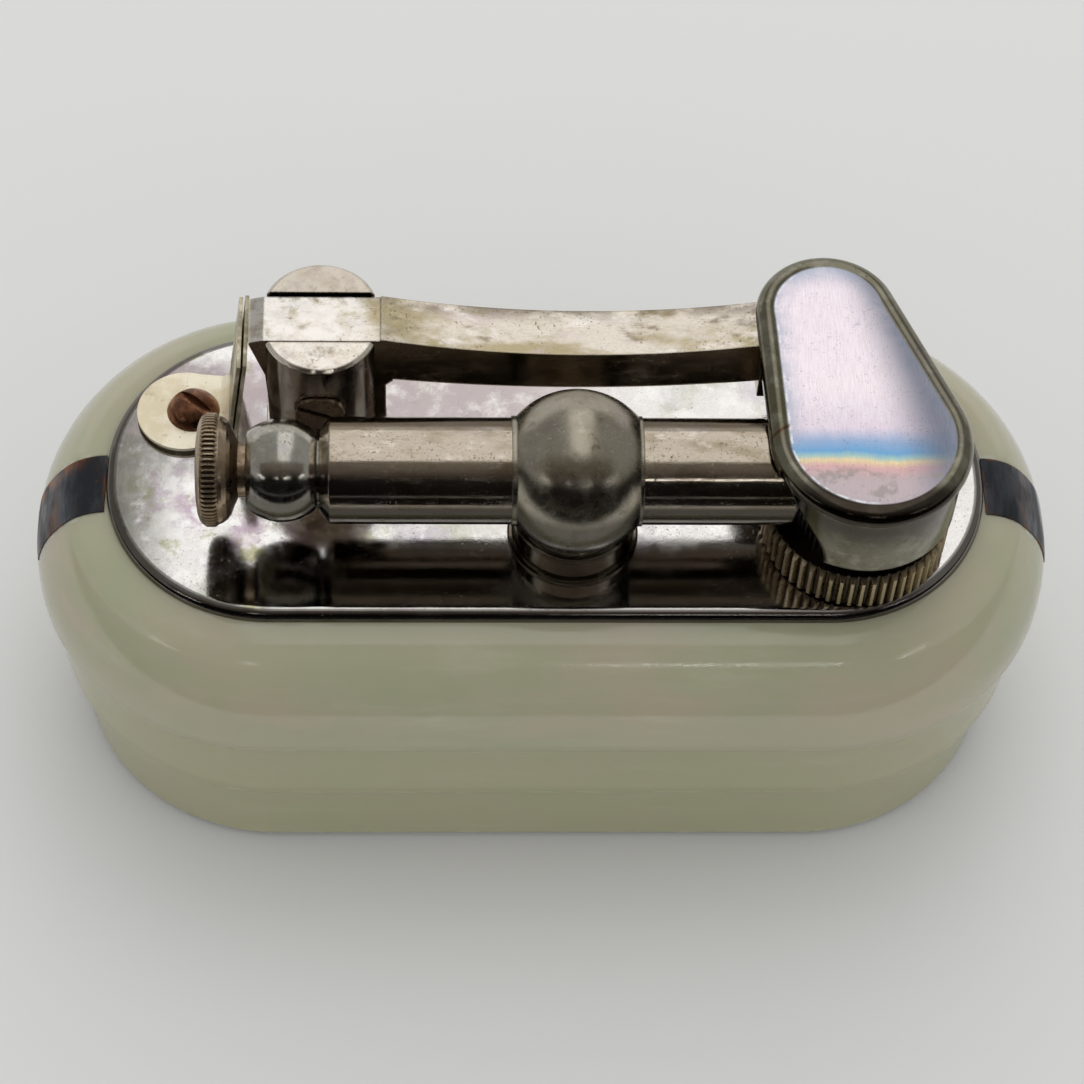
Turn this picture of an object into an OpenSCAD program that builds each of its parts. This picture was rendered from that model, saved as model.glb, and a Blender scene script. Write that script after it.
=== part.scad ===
// Table lighter: stone block, silvered deck, lift arm with a snuffer cap, flint tube and upright wheels.
// Millimetres, +Z up, +X along the block, origin at the middle of the face that it stands on.

/* [Stone block] */
// Length of the block
block_l = 88; // [86:0.5:94]
// Depth of the block
block_w = 42.6; // [42:0.2:45]
// Height of the block's flat top above the table
block_h = 30; // [28.5:0.5:36]
// Half of the flat between the two corner curves of an end
end_flat = 0.6; // [0.4:0.1:1.6]
// Width of the rounded shoulder, seen from above
shoulder_w = 6.6; // [6.2:0.1:6.8]
// Drop of the rounded shoulder
shoulder_h = 9.2; // [8:0.1:9.2]
// Radius of the shoulder where it meets the flat top
crown_r = 4.9; // [4.4:0.1:5.2]
// Height of the widest band with its shoulder
band_h = 10.35; // [10.35:0.05:11]
// Height of the first set-back tier
tier_h = 9.05; // [8:0.05:9.5]
// Set-back of the first tier
tier_in = 1.2; // [1:0.1:1.6]
// Set-back of the foot
foot_in = 2.7; // [2.4:0.1:3.4]
// Thickness of the baize
felt_t = 0.8; // [0.5:0.1:1.2]

/* [End straps] */
// Width of each strap
strap_w = 5.8; // [5:0.1:6.6]
// Thickness of each strap
strap_t = 0.4; // [0.3:0.05:0.5]
// Height of each strap's lower end above the table
strap_z = 22.6; // [22:0.1:24]
// Distance of the straps from the middle line, towards the back
strap_y = -0.8; // [-1.4:0.1:0.4]

/* [Deck] */
// Thickness of the deck
deck_t = 1; // [0.9:0.05:1.2]
// Rounding of the deck's upper edge
deck_round = 0.9; // [0.5:0.05:0.9]

/* [Fuel tank] */
// Length of the tank
tank_l = 59; // [58.4:0.2:59]
// Depth of the tank
tank_w = 24; // [23.6:0.1:24]
// Thickness of the tank's sheet
tank_t = 0.5; // [0.4:0.05:0.6]
// Radius of the filler neck
neck_r = 6; // [5.6:0.1:6.4]
// Radius of the filler screw's thread
fill_r = 3.5; // [3:0.1:3.8]

/* [Pivot post] */
// Distance of the pivot from the middle, to the left
pivot_x = -19.1; // [-19.3:0.05:-18.9]
// Height of the pivot above the block
pivot_h = 8.8; // [8.7:0.05:9]
// Distance of the arm from the middle line, towards the back
arm_y = 6.1; // [5.9:0.05:6.2]
// Radius of the post's round front and back
post_r = 4.78; // [4.6:0.02:4.9]
// Half of the distance between the centres of the front and back curves
post_half = 0.92; // [0.8:0.02:1]
// Height of the ears above the block
post_h = 14.26; // [14.1:0.02:14.3]
// Width of the slot for the arm
slot_w = 5.2; // [5.1:0.05:5.3]
// Radius of the pivot screw's shank
pin_r = 1.3; // [1.1:0.05:1.4]

/* [Lift arm] */
// Width of the bar
arm_w = 4.6; // [4.4:0.05:4.7]
// Height of the turning block's top above the stone
arm_top = 14; // [13.9:0.05:14.05]
// Height of the top of the bar at its lowest place
arm_low = 12.28; // [12.2:0.02:12.5]
// Height of the underside of the bar at its lowest place
arm_under = 7.8; // [7.7:0.05:8.1]
// Radius of the sag in the bar's top
sag_r = 77; // [72:1:90]
// Radius of the bar's curved underside
under_r = 115; // [100:5:150]

/* [Snuffer cap] */
// Distance of the wheel axis from the middle, to the right
wheel_x = 25.59; // [25.5:0.01:25.7]
// Radius of the cap's wide end
cap_r1 = 8.26; // [8.2:0.02:8.4]
// Radius of the cap's narrow end
cap_r2 = 5.96; // [5.9:0.02:6.1]
// Radius of the rolled edge
roll_r = 1; // [0.9:0.05:1.05]
// Thickness of the cap's wall
cap_t = 0.7; // [0.5:0.05:0.75]
// Height of the cap's lower edge above the block
cap_low = 7.6; // [7.4:0.05:7.9]
// Radius of the arch that goes over the flint tube
arch_r = 7.3; // [7.2:0.05:7.5]

/* [Flint tube and its foot] */
// Distance of the tube from the middle line, towards the back
tube_y = -6.33; // [-6.4:0.01:-6.25]
// Height of the tube's axis above the block
tube_h = 9.95; // [9.9:0.01:10.1]
// Radius of the tube
tube_r = 4.39; // [4.3:0.01:4.42]
// Radius of the tube's bore
bore_r = 1.4; // [1.3:0.05:1.5]
// Radius of the ball that carries the tube
ball_r = 6.73; // [6.6:0.01:6.8]
// Distance of the ball from the middle, to the right
ball_x = 2; // [1:0.1:3]
// Radius of the end ball
end_r = 4.25; // [4.1:0.05:4.35]
// Length of the flint
flint_l = 6; // [3:0.5:7]

/* [Flint screw] */
// Radius of the knurled disc
knob_r = 4.65; // [4.4:0.05:4.8]
// Number of ridges round the disc
knob_n = 66; // [50:2:72]

/* [Wheels] */
// Radius of the thumb wheel
thumb_r = 7.79; // [7.6:0.01:7.9]
// Number of teeth on the thumb wheel
thumb_n = 54; // [44:2:60]
// Radius of the striking wheel
strike_r = 5.5; // [5.45:0.01:5.55]
// Number of cuts on the striking wheel
strike_n = 60; // [40:4:72]
// Radius of the wheel axle
axle_r = 1.5; // [1.3:0.05:1.6]

/* [Wick] */
// Distance of the wick from the middle, to the right
wick_x = 22.9; // [22.8:0.05:23]
// Outer radius of the wick tube
wick_tube_r = 2.6; // [2.4:0.05:2.7]
// Height of the wick's end above the block
wick_h = 13.2; // [12.6:0.1:13.6]

/* [Leaf spring] */
// Width of the spring's foot
leaf_w = 8.1; // [7.9:0.1:8.6]
// Width of the upright blades
blade_w = 7.4; // [7:0.1:7.6]
// Thickness of each leaf
leaf_t = 0.32; // [0.28:0.01:0.36]
// Distance of the spring's screw from the middle, to the left
leaf_x = -30.2; // [-30.3:0.05:-30]
// Distance of the spring from the middle line, towards the back
leaf_y = 5.7; // [5.6:0.05:5.9]
// Radius of the screw's head
leaf_head_r = 2.25; // [2.1:0.05:2.4]

/* [Fits] */
// Radial clearance of a turning or sliding fit
run = 0.06; // [0.04:0.01:0.08]
// Radial clearance of a fixed fit
fix = 0.02; // [0.01:0.005:0.03]
// Gap between faces that rub
rub = 0.05; // [0.03:0.01:0.08]

/* [Hidden] */
top = block_h;
deck = block_h + deck_t;
corner_r = block_w / 2 - end_flat;
band_z = top - band_h;
tier_z = band_z - tier_h;
band_edge = 0.7;
strap_rise = 0.06;
tier_edge = 0.5;
foot_edge = 0.4;
side_r = (pow(shoulder_w, 2) + pow(shoulder_h - crown_r, 2) - pow(crown_r, 2)) / (2 * (shoulder_w - crown_r));
deck_l = block_l - 2 * shoulder_w;
deck_w = block_w - 2 * shoulder_w;
deck_r = corner_r - shoulder_w;
tank_x = 3.5;
tank_r = tank_w / 2 - 0.5;
tank_z = 8;
pocket_gap = 0.75;
pocket_z = tank_z - 0.5;
ledge_z = 4;
neck_z = 2.4;
ring_hole = 11;
lid_z = top - 5;
tube_z = top + tube_h;
pivot_z = top + pivot_h;
strike_bot = 5.35;
strike_top = 14;
post_bevel = 0.28;
cap_ceil = top + tube_h + tube_r + 0.56;
cap_panel = cap_ceil + 0.8;
roll_z = cap_panel + 0.1 - roll_r;
cap_in = 0.45;
cap_y1 = -6.7;
cap_y2 = 6;
cap_dx = wick_x - wheel_x;
cap_dy = cap_y2 - cap_y1;
cap_d = sqrt(cap_dx * cap_dx + cap_dy * cap_dy);
cap_dir = atan2(cap_dy, cap_dx);
cap_half = acos((cap_r1 - cap_r2) / cap_d);
tan_l = cap_dir + cap_half;
tan_r = cap_dir - cap_half;
wick_y = arm_y;
tube_end = 19.86;
tube_start = -18.98;
flint_tip = wheel_x - strike_r - rub;
flint_back = flint_tip - flint_l;
head_l = 2.5;
seat_tip = -14.2;
spigot_r = 2.2;
end_x = -22.07;
nut_r = 3;
nut_h = 2;
nut_gap = 0.3;
spring_r = 1;
wire_r = 0.2;
spring_a = seat_tip + wire_r + rub;
spring_b = flint_back - head_l - wire_r - rub;
spring_n = 22;
spring_pitch = (spring_b - spring_a) / spring_n;

// Shapes that several pieces share

function quarter(cx, cz, rx, rz, from, to, n) =
  [for (i = [0:n]) let (a = from + (to - from) * i / n) [cx + rx * cos(a), cz + rz * sin(a)]];

// A solid with a rounded-rectangle plan whose edge follows the child profile all the way round
module loaf(l, w, r, z0, z1) {
  lx = l / 2 - r;
  ly = w / 2 - r;
  for (q = [0:3])
    mirror([q % 2, 0, 0]) mirror([0, q > 1 ? 1 : 0, 0])
      translate([lx, ly, 0]) rotate_extrude(angle = 90, $fn = 96) children();
  for (s = [0, 1])
    rotate([0, 0, 180 * s]) {
      translate([-lx, ly, 0]) rotate([90, 0, 90]) linear_extrude(2 * lx) children();
      translate([lx, ly, 0]) rotate([90, 0, 0]) linear_extrude(2 * ly) children();
    }
  translate([-lx, -ly, z0]) cube([2 * lx, 2 * ly, z1 - z0]);
}

// The right end alone of such a solid
module loaf_end(l, w, r) {
  lx = l / 2 - r;
  ly = w / 2 - r;
  for (m = [0, 1])
    mirror([0, m, 0]) translate([lx, ly, 0]) rotate_extrude(angle = 90, $fn = 96) children();
  translate([lx, ly, 0]) rotate([90, 0, 0]) linear_extrude(2 * ly) children();
}

module pill(x, l, w, r, z0, z1) {
  lx = l / 2 - r;
  ly = w / 2 - r;
  translate([x, 0, z0]) {
    for (sx = [-lx, lx])
      for (sy = [-ly, ly])
        translate([sx, sy, 0]) cylinder(r = r, h = z1 - z0, $fn = 96);
    translate([-lx, -w / 2, 0]) cube([2 * lx, w, z1 - z0]);
    translate([-l / 2, -ly, 0]) cube([l, 2 * ly, z1 - z0]);
  }
}

module rod(x, y, r, z0, z1) {
  translate([x, y, z0]) cylinder(r = r, h = z1 - z0, $fn = 64);
}

module rod_x(x0, x1, r) {
  translate([x0, tube_y, tube_z]) rotate([0, 90, 0]) cylinder(r = r, h = x1 - x0, $fn = 64);
}

module turned_x() {
  translate([0, tube_y, tube_z]) rotate([0, 90, 0]) rotate_extrude($fn = 96) children();
}

module hex_nut(x, y, r, hole) {
  translate([x, y, top - nut_h]) difference() {
    cylinder(r = r, h = nut_h, $fn = 6);
    translate([0, 0, -1]) cylinder(r = hole, h = nut_h + 2, $fn = 48);
  }
}

// A rectangle from the corner axis to x whose lower outer corner is rounded
module tier(x, z0, z1, r) {
  difference() {
    translate([0, z0]) square([x, z1 - z0]);
    difference() {
      translate([x - r, z0 - 1]) square([r + 1, r + 1]);
      translate([x - r, z0 + r]) circle(r = r, $fn = 64);
    }
  }
}

// The widest band with its shoulder of two tangent arcs, swollen by g for the straps
module band_profile(g) {
  sx = corner_r - side_r;
  sz = top - shoulder_h;
  kx = corner_r - shoulder_w;
  kz = top - crown_r;
  difference() {
    tier(corner_r + g, band_z - g, top + g, band_edge + g);
    difference() {
      translate([kx, sz]) square([shoulder_w + 1, shoulder_h + 1]);
      translate([kx, kz]) circle(r = crown_r + g, $fn = 128);
      intersection() {
        translate([sx, sz]) circle(r = side_r + g, $fn = 256);
        polygon([[sx, sz], [sx + 40, sz], [sx + 5 * (kx - sx), sz + 5 * (kz - sz)]]);
      }
    }
  }
}

module block_profile() {
  tier(corner_r - foot_in, felt_t, tier_z, foot_edge);
  tier(corner_r - tier_in, tier_z, band_z, tier_edge);
  band_profile(0);
}

module egg(i) {
  p = [[wheel_x, cap_y1], [wick_x, cap_y2]];
  translate(p[0]) circle(r = cap_r1 - i, $fn = 96);
  translate(p[1]) circle(r = cap_r2 - i, $fn = 96);
  polygon([
    p[0] + (cap_r1 - i) * [cos(tan_r), sin(tan_r)],
    p[1] + (cap_r2 - i) * [cos(tan_r), sin(tan_r)],
    p[1] + (cap_r2 - i) * [cos(tan_l), sin(tan_l)],
    p[0] + (cap_r1 - i) * [cos(tan_l), sin(tan_l)]]);
}

module toothed(n, r, depth, crest, root) {
  polygon([for (i = [0:n - 1]) for (k = [0:3])
    let (a = (i + [-root, root, 0.5 - crest, 0.5 + crest][k]) * 360 / n, q = k < 2 ? r - depth : r)
    [q * cos(a), q * sin(a)]]);
}

// Stone, straps and deck

module stone_body() {
  color([0.63, 0.63, 0.54]) difference() {
    loaf(block_l, block_w, corner_r, felt_t, top) block_profile();
    pill(tank_x, tank_l + 2 * pocket_gap, tank_w + 2 * pocket_gap, tank_r + pocket_gap, pocket_z, top + 1);
    rod(leaf_x, leaf_y, 3.3, top - 5, top + 1);
    rod(tank_x, 0, neck_r + 0.2, 0, pocket_z + 1);
    rod(tank_x, 0, ring_hole, 0, ledge_z);
    for (m = [0, 1])
      mirror([m, 0, 0]) difference() {
        strap_room(fix);
        loaf_end(block_l, block_w, corner_r) band_profile(strap_rise - strap_t);
      }
  }
}

module base_felt() {
  color([0.1, 0.22, 0.14]) difference() {
    pill(0, block_l - 2 * foot_in - 3, block_w - 2 * foot_in - 3, corner_r - foot_in - 1.5, 0, felt_t);
    rod(tank_x, 0, ring_hole + 0.3, -1, felt_t + 1);
  }
}

// The place of a strap, let into the stone, with g of room round it
module strap_room(g) {
  translate([deck_l / 2 + rub - g, strap_y - strap_w / 2 - g, strap_z - g])
    cube([20, strap_w + 2 * g, top + 5 - strap_z]);
}

module strap() {
  difference() {
    intersection() {
      loaf_end(block_l, block_w, corner_r) band_profile(strap_rise);
      strap_room(0);
    }
    loaf_end(block_l, block_w, corner_r) band_profile(strap_rise - strap_t);
  }
}

module band_right() {
  color([0.27, 0.25, 0.25]) strap();
}

module band_left() {
  color([0.27, 0.25, 0.25]) mirror([1, 0, 0]) strap();
}

module top_plate() {
  color([0.72, 0.7, 0.68]) difference() {
    loaf(deck_l, deck_w, deck_r, top, deck)
      difference() {
        translate([0, top]) square([deck_r, deck_t]);
        difference() {
          translate([deck_r - deck_round, deck - deck_round]) square(deck_round + 1);
          translate([deck_r - deck_round, deck - deck_round]) circle(r = deck_round, $fn = 64);
        }
      }
    rod(pivot_x, arm_y, 1.6 + fix, top - 1, deck + 1);
    rod(ball_x, tube_y, 1.6 + fix, top - 1, deck + 1);
    rod(wheel_x, tube_y, axle_r + fix, top - 1, deck + 1);
    rod(wick_x, wick_y, wick_tube_r + fix, top - 1, deck + 1);
    rod(leaf_x, leaf_y, 1.15 + fix, top - 1, deck + 1);
  }
}

// Fuel tank and what closes it

module fuel_tank() {
  color([0.72, 0.62, 0.36]) difference() {
    union() {
      pill(tank_x, tank_l, tank_w, tank_r, tank_z, top);
      rod(tank_x, 0, neck_r, neck_z, tank_z + 0.3);
    }
    pill(tank_x, tank_l - 2 * tank_t, tank_w - 2 * tank_t, tank_r - tank_t, tank_z + tank_t, top + 1);
    rod(tank_x, 0, fill_r + run, 0, tank_z + 2);
    for (p = [[pivot_x, arm_y], [leaf_x, leaf_y], [ball_x, tube_y], [wheel_x, tube_y]])
      rod(p[0], p[1], nut_r + nut_gap, top - nut_h - nut_gap, top + 1);
  }
}

module tank_lid() {
  color([0.72, 0.62, 0.36]) difference() {
    pill(tank_x, tank_l - 2 * tank_t - 2 * fix, tank_w - 2 * tank_t - 2 * fix, tank_r - tank_t - fix,
      lid_z - tank_t, lid_z);
    rod(wick_x, wick_y, wick_tube_r + fix, 0, top);
  }
}

module cotton_wadding() {
  color([0.88, 0.86, 0.8]) difference() {
    pill(tank_x, tank_l - 2 * tank_t - 0.6, tank_w - 2 * tank_t - 0.6, tank_r - tank_t - 0.3,
      tank_z + tank_t, lid_z - tank_t - 0.3);
    rod(wick_x, wick_y, wick_tube_r + 0.1, lid_z - 3.2, top);
    rod(wick_x, wick_y, wick_tube_r - 0.5, tank_z + 1.8, top);
  }
}

module ring_nut() {
  color([0.7, 0.6, 0.34]) difference() {
    rod(tank_x, 0, 9.5, neck_z - 0.2, ledge_z);
    rod(tank_x, 0, neck_r + fix, 0, ledge_z + 1);
    for (s = [-1, 1])
      translate([tank_x + 9 * s - 1, -1, neck_z - 1]) cube([2, 2, 2.2]);
  }
}

module filler_gasket() {
  color([0.15, 0.14, 0.14]) difference() {
    rod(tank_x, 0, 5.1, neck_z - 0.55, neck_z - rub);
    rod(tank_x, 0, fill_r + run, 0, neck_z);
  }
}

module filler_screw() {
  color([0.74, 0.64, 0.36]) difference() {
    union() {
      rod(tank_x, 0, 5.2, 0.9, neck_z - 0.6);
      rod(tank_x, 0, fill_r, 1, tank_z - 0.6);
    }
    translate([tank_x - 6, -0.6, 0]) cube([12, 1.2, 1.4]);
  }
}

// Post, arm and cap

module post_plan(r, z0, z1) {
  rod(pivot_x, arm_y - post_half, r, z0, z1);
  rod(pivot_x, arm_y + post_half, r, z0, z1);
  translate([pivot_x - r, arm_y - post_half, z0]) cube([2 * r, 2 * post_half, z1 - z0]);
}

// The bevelled rim of the ears
module post_rim(z0, z1) {
  c = z1 - z0;
  for (s = [-1, 1])
    translate([pivot_x, arm_y + s * post_half, z0]) cylinder(r1 = post_r, r2 = post_r - c, h = c, $fn = 64);
  translate([pivot_x, arm_y + post_half, z0]) rotate([90, 0, 0]) linear_extrude(2 * post_half)
    polygon([[-post_r, 0], [post_r, 0], [post_r - c, c], [c - post_r, c]]);
}

module pivot_y(r, y0, y1) {
  translate([pivot_x, y1, pivot_z]) rotate([90, 0, 0]) cylinder(r = r, h = y1 - y0, $fn = 64);
}

module pivot_post() {
  color([0.75, 0.72, 0.68]) {
    difference() {
      union() {
        post_plan(post_r, deck, top + post_h - post_bevel);
        post_rim(top + post_h - post_bevel, top + post_h);
      }
      translate([pivot_x - 8, arm_y - slot_w / 2, deck + 1.2]) cube([16, slot_w, 20]);
      pivot_y(pin_r + fix, arm_y - 10, arm_y + 10);
      pivot_y(2.15, arm_y - 10, arm_y - post_half - post_r + 0.5);
    }
    rod(pivot_x, arm_y, 1.6, top - 3.2, deck);
  }
}

module post_nut() {
  color([0.7, 0.6, 0.34]) hex_nut(pivot_x, arm_y, nut_r, 1.6 + fix);
}

module pivot_screw() {
  color([0.66, 0.58, 0.48]) difference() {
    union() {
      pivot_y(pin_r, arm_y - post_half - post_r + 0.2, arm_y + post_half + post_r - 0.2);
      pivot_y(1.98, arm_y - post_half - post_r - 0.3, arm_y - post_half - post_r + 0.5);
    }
    translate([pivot_x, arm_y - post_half - post_r - 0.3, pivot_z]) rotate([0, 25, 0])
      cube([5, 0.7, 0.5], center = true);
  }
}

module arm_profile() {
  difference() {
    union() {
      intersection() {
        translate([pivot_x + 5, 6]) square([wick_x - pivot_x - 6, 9]);
        translate([2, arm_under + under_r]) circle(r = under_r, $fn = 720);
      }
      polygon([
        [pivot_x - 4.7, arm_top], [pivot_x - 5.75, arm_top - 0.28], [pivot_x - 5.9, arm_top - 0.44],
        [pivot_x - 4.65, 9.3], [pivot_x - 4.5, 6.2], [pivot_x - 2.7, 3.35], [pivot_x + 5.2, 3.35],
        [pivot_x + 5.4, 3.6], [pivot_x + 5.4, 8], [pivot_x + 6, 8.6], [pivot_x + 6, arm_top],
        [pivot_x + 4.9, arm_top]]);
    }
    translate([2.9, arm_low + sag_r]) circle(r = sag_r, $fn = 720);
    translate([pivot_x, pivot_h]) circle(r = pin_r + run, $fn = 64);
  }
}

module lift_arm() {
  color([0.78, 0.75, 0.73]) difference() {
    translate([0, arm_y + arm_w / 2, top]) rotate([90, 0, 0]) linear_extrude(arm_w) arm_profile();
    translate([0, 0, top]) linear_extrude(20) egg(cap_in);
  }
}

// The cap's section from the axis of an end to its edge at r, before it is hollowed
module cap_profile(r) {
  translate([0, top + cap_low]) square([r - cap_in, roll_z - top - cap_low]);
  translate([0, roll_z - 0.2]) square([r - roll_r, cap_panel - roll_z + 0.2]);
  translate([r - roll_r, roll_z]) circle(r = roll_r, $fn = 64);
}

module cap_blank() {
  translate([wheel_x, cap_y1, 0]) rotate([0, 0, tan_l])
    rotate_extrude(angle = 360 - 2 * cap_half, $fn = 96) cap_profile(cap_r1);
  translate([wick_x, cap_y2, 0]) rotate([0, 0, tan_r])
    rotate_extrude(angle = 2 * cap_half, $fn = 96) cap_profile(cap_r2);
  translate([wheel_x, cap_y1, 0]) {
    rotate([0, 0, tan_r]) rotate([90, 0, 180]) mirror([1, 0, 0])
      linear_extrude(cap_d * sin(cap_half)) cap_side();
    rotate([0, 0, tan_l]) rotate([90, 0, 0]) linear_extrude(cap_d * sin(cap_half)) cap_side();
  }
  translate([0, 0, top + cap_low]) linear_extrude(cap_panel - top - cap_low)
    polygon([
      [wheel_x, cap_y1],
      [wheel_x + (cap_r1 - 3) * cos(tan_r), cap_y1 + (cap_r1 - 3) * sin(tan_r)],
      [wick_x + (cap_r2 - 3) * cos(tan_r), cap_y2 + (cap_r2 - 3) * sin(tan_r)],
      [wick_x, cap_y2],
      [wick_x + (cap_r2 - 3) * cos(tan_l), cap_y2 + (cap_r2 - 3) * sin(tan_l)],
      [wheel_x + (cap_r1 - 3) * cos(tan_l), cap_y1 + (cap_r1 - 3) * sin(tan_l)]]);
}

// The same section for the straight sides, three millimetres deep
module cap_side() {
  intersection() {
    cap_profile(cap_r1);
    translate([cap_r1 - 3, top]) square([4, 20]);
  }
}

module snuffer_cap() {
  color([0.82, 0.78, 0.78]) difference() {
    cap_blank();
    translate([0, 0, top]) linear_extrude(cap_ceil - top) egg(cap_in + cap_t);
    intersection() {
      translate([12, tube_y, top + cap_low]) rotate([0, 90, 0]) cylinder(r = arch_r, h = 11, $fn = 64);
      translate([10, -20, top]) cube([14, 30, cap_ceil - 0.2 - top]);
    }
    translate([12, tube_y, top]) cube([7, arm_y - tube_y - 3, 11.5]);
  }
}

module snuffer_liner() {
  color([0.7, 0.66, 0.6]) difference() {
    rod(wick_x, wick_y, 3.6, top + 11, cap_ceil);
    rod(wick_x, wick_y, 3.1, top, top + 20);
  }
}

// Leaf spring

blade_gap = 0.15;
leaf_bx = leaf_x + leaf_head_r + blade_gap + 0.02;
leaf_end = leaf_x - 4.8;
leaf_lean = 83;
leaf_bend = 1.25;
leaf_step = leaf_t + 0.03;
blade_l = 10.7;

function leaf_path(k) =
  let (r = leaf_bend - leaf_step * k, x = leaf_bx - blade_gap * k, z = deck + leaf_t / 2 + leaf_bend,
    l = blade_l - 0.25 * k)
  concat([[leaf_end, z - r]], quarter(x, z, r, r, -90, leaf_lean - 90, 6),
    [[x + r * sin(leaf_lean) + l * cos(leaf_lean), z - r * cos(leaf_lean) + l * sin(leaf_lean)]]);

function leaf_side(p, h) = [for (i = [0:len(p) - 1])
  let (a = p[max(i - 1, 0)], b = p[min(i + 1, len(p) - 1)], d = b - a)
  p[i] + h * [-d[1], d[0]] / norm(d)];

// The lower leaf's foot is the smaller one
module leaf(k) {
  p = leaf_path(k);
  n = len(p) - 1;
  foot_r = leaf_w / 2 - 0.45 * (1 - k);
  foot_x = leaf_end + leaf_w / 2;
  difference() {
    intersection() {
      translate([0, leaf_y + leaf_w / 2, 0]) rotate([90, 0, 0]) linear_extrude(leaf_w)
        polygon(concat(leaf_side(p, leaf_t / 2), [for (i = [0:n]) leaf_side(p, -leaf_t / 2)[n - i]]));
      translate([0, leaf_y, deck - 1]) union() {
        translate([foot_x, 0, 0]) cylinder(r = foot_r, h = 3, $fn = 64);
        linear_extrude(16)
          polygon([[foot_x, 0.05 - foot_r], [leaf_bx, -blade_w / 2], [leaf_bx + 6, -blade_w / 2],
            [leaf_bx + 6, blade_w / 2], [leaf_bx, blade_w / 2], [foot_x, foot_r - 0.05]]);
      }
    }
    rod(leaf_x, leaf_y, 1.15 + fix, deck - 1, deck + 2);
  }
}

module spring_leaf_outer() {
  color([0.7, 0.68, 0.55]) leaf(0);
}

module spring_leaf_inner() {
  color([0.66, 0.63, 0.5]) leaf(1);
}

leaf_top = deck + leaf_t + leaf_step;
head_h = 1.6;

module leaf_screw() {
  dome_r = (pow(leaf_head_r, 2) + pow(head_h, 2)) / (2 * head_h);
  color([0.6, 0.42, 0.3]) difference() {
    union() {
      intersection() {
        translate([leaf_x, leaf_y, leaf_top + head_h - dome_r]) sphere(r = dome_r, $fn = 64);
        rod(leaf_x, leaf_y, leaf_head_r + 1, leaf_top, leaf_top + 3);
      }
      rod(leaf_x, leaf_y, 1.15, top - 2.6, leaf_top + 0.2);
    }
    translate([leaf_x, leaf_y, leaf_top + head_h]) rotate([0, 0, -38]) cube([6, 0.85, 1.5], center = true);
  }
}

module leaf_nut() {
  color([0.7, 0.6, 0.34]) hex_nut(leaf_x, leaf_y, 2.6, 1.15 + fix);
}

// Flint tube, its foot and its screw

module pedestal() {
  b = ball_x;
  color([0.7, 0.62, 0.5]) difference() {
    union() {
      translate([b, tube_y, deck]) rotate_extrude($fn = 96)
        polygon([[0, 0], [5.5, 0], [5.5, 0.12], [5.36, 0.2], [5.08, 0.22], [5.02, 0.4], [4.95, 2.65],
          [5.06, 2.8], [5.06, 3], [4.9, 3.12], [4.66, 3.2], [4.62, 3.85], [4.78, 3.98], [4.8, 4.18],
          [0, 4.18]]);
      rod(b, tube_y, 1.6, top - 3.2, deck + 0.1);
    }
    translate([b, tube_y, tube_z]) sphere(r = ball_r + fix, $fn = 96);
  }
}

module pedestal_nut() {
  color([0.7, 0.6, 0.34]) hex_nut(ball_x, tube_y, nut_r, 1.6 + fix);
}

module tube_ball() {
  color([0.68, 0.66, 0.63]) turned_x() difference() {
    union() {
      intersection() {
        translate([0, ball_x]) circle(r = ball_r, $fn = 96);
        translate([0, ball_x - 5.15]) square([ball_r + 1, 10.15]);
      }
      translate([0, ball_x - 5.42]) square([tube_r + 0.13, 10.7]);
    }
    translate([-1, ball_x - 10]) square([tube_r + fix + 1, 20]);
  }
}

module flint_tube() {
  color([0.68, 0.66, 0.63]) difference() {
    turned_x() polygon([[0, tube_start], [tube_r - 0.99, tube_start], [tube_r, tube_start + 0.81],
      [tube_r, tube_end - 0.3], [tube_r - 0.1, tube_end - 0.08], [tube_r - 0.3, tube_end], [0, tube_end]]);
    rod_x(-30, 30, bore_r);
    rod_x(-30, tube_start + 3.6, spigot_r + fix);
  }
}

module end_ball() {
  color([0.66, 0.64, 0.62]) difference() {
    union() {
      intersection() {
        translate([end_x, tube_y, tube_z]) sphere(r = end_r, $fn = 96);
        rod_x(end_x - 2.85, end_x + 2.87, end_r + 1);
      }
      rod_x(end_x + 2.5, tube_start, 2.9);
      rod_x(end_x + 2.5, tube_start + 3.5, spigot_r);
    }
    rod_x(-40, 0, bore_r);
  }
}

// The knurled disc has rounded edges, and its ridges run out on both of them
module flint_screw() {
  rim = knob_r - 0.24;
  color([0.5, 0.42, 0.33]) {
    turned_x() polygon([[0, -29.1], [1.8, -29.06], [3, -28.97], [knob_r - 0.95, -28.86],
      [knob_r - 0.5, -28.7], [rim, -28.53], [rim, -27.07], [knob_r - 0.36, -26.8],
      [knob_r - 0.62, -26.45], [knob_r - 1.05, -26.15], [2.9, -25.9], [2.25, -25.6],
      [2.25, end_x - 2.85 - rub], [bore_r - run, end_x - 2.85 - rub],
      [bore_r - run, seat_tip - 1.2 - rub], [0, seat_tip - 1.2 - rub]]);
    intersection() {
      translate([-28.6, tube_y, tube_z]) rotate([0, 90, 0]) linear_extrude(1.6)
        toothed(knob_n, knob_r, 0.27, 0.16, 0.14);
      turned_x() polygon([[0, -28.5], [rim - 0.02, -28.5], [knob_r + 0.01, -28.15], [knob_r + 0.01, -27.45],
        [rim - 0.02, -27.1], [0, -27.1]]);
    }
  }
}

module spring_seat() {
  color([0.72, 0.62, 0.36]) {
    rod_x(seat_tip - 1.2, seat_tip, bore_r - run);
    rod_x(seat_tip - 0.5, seat_tip + 2, 0.65);
  }
}

function coil_point(t) = [spring_a + spring_pitch * t, tube_y + spring_r * cos(360 * t),
  tube_z + spring_r * sin(360 * t)];

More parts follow.
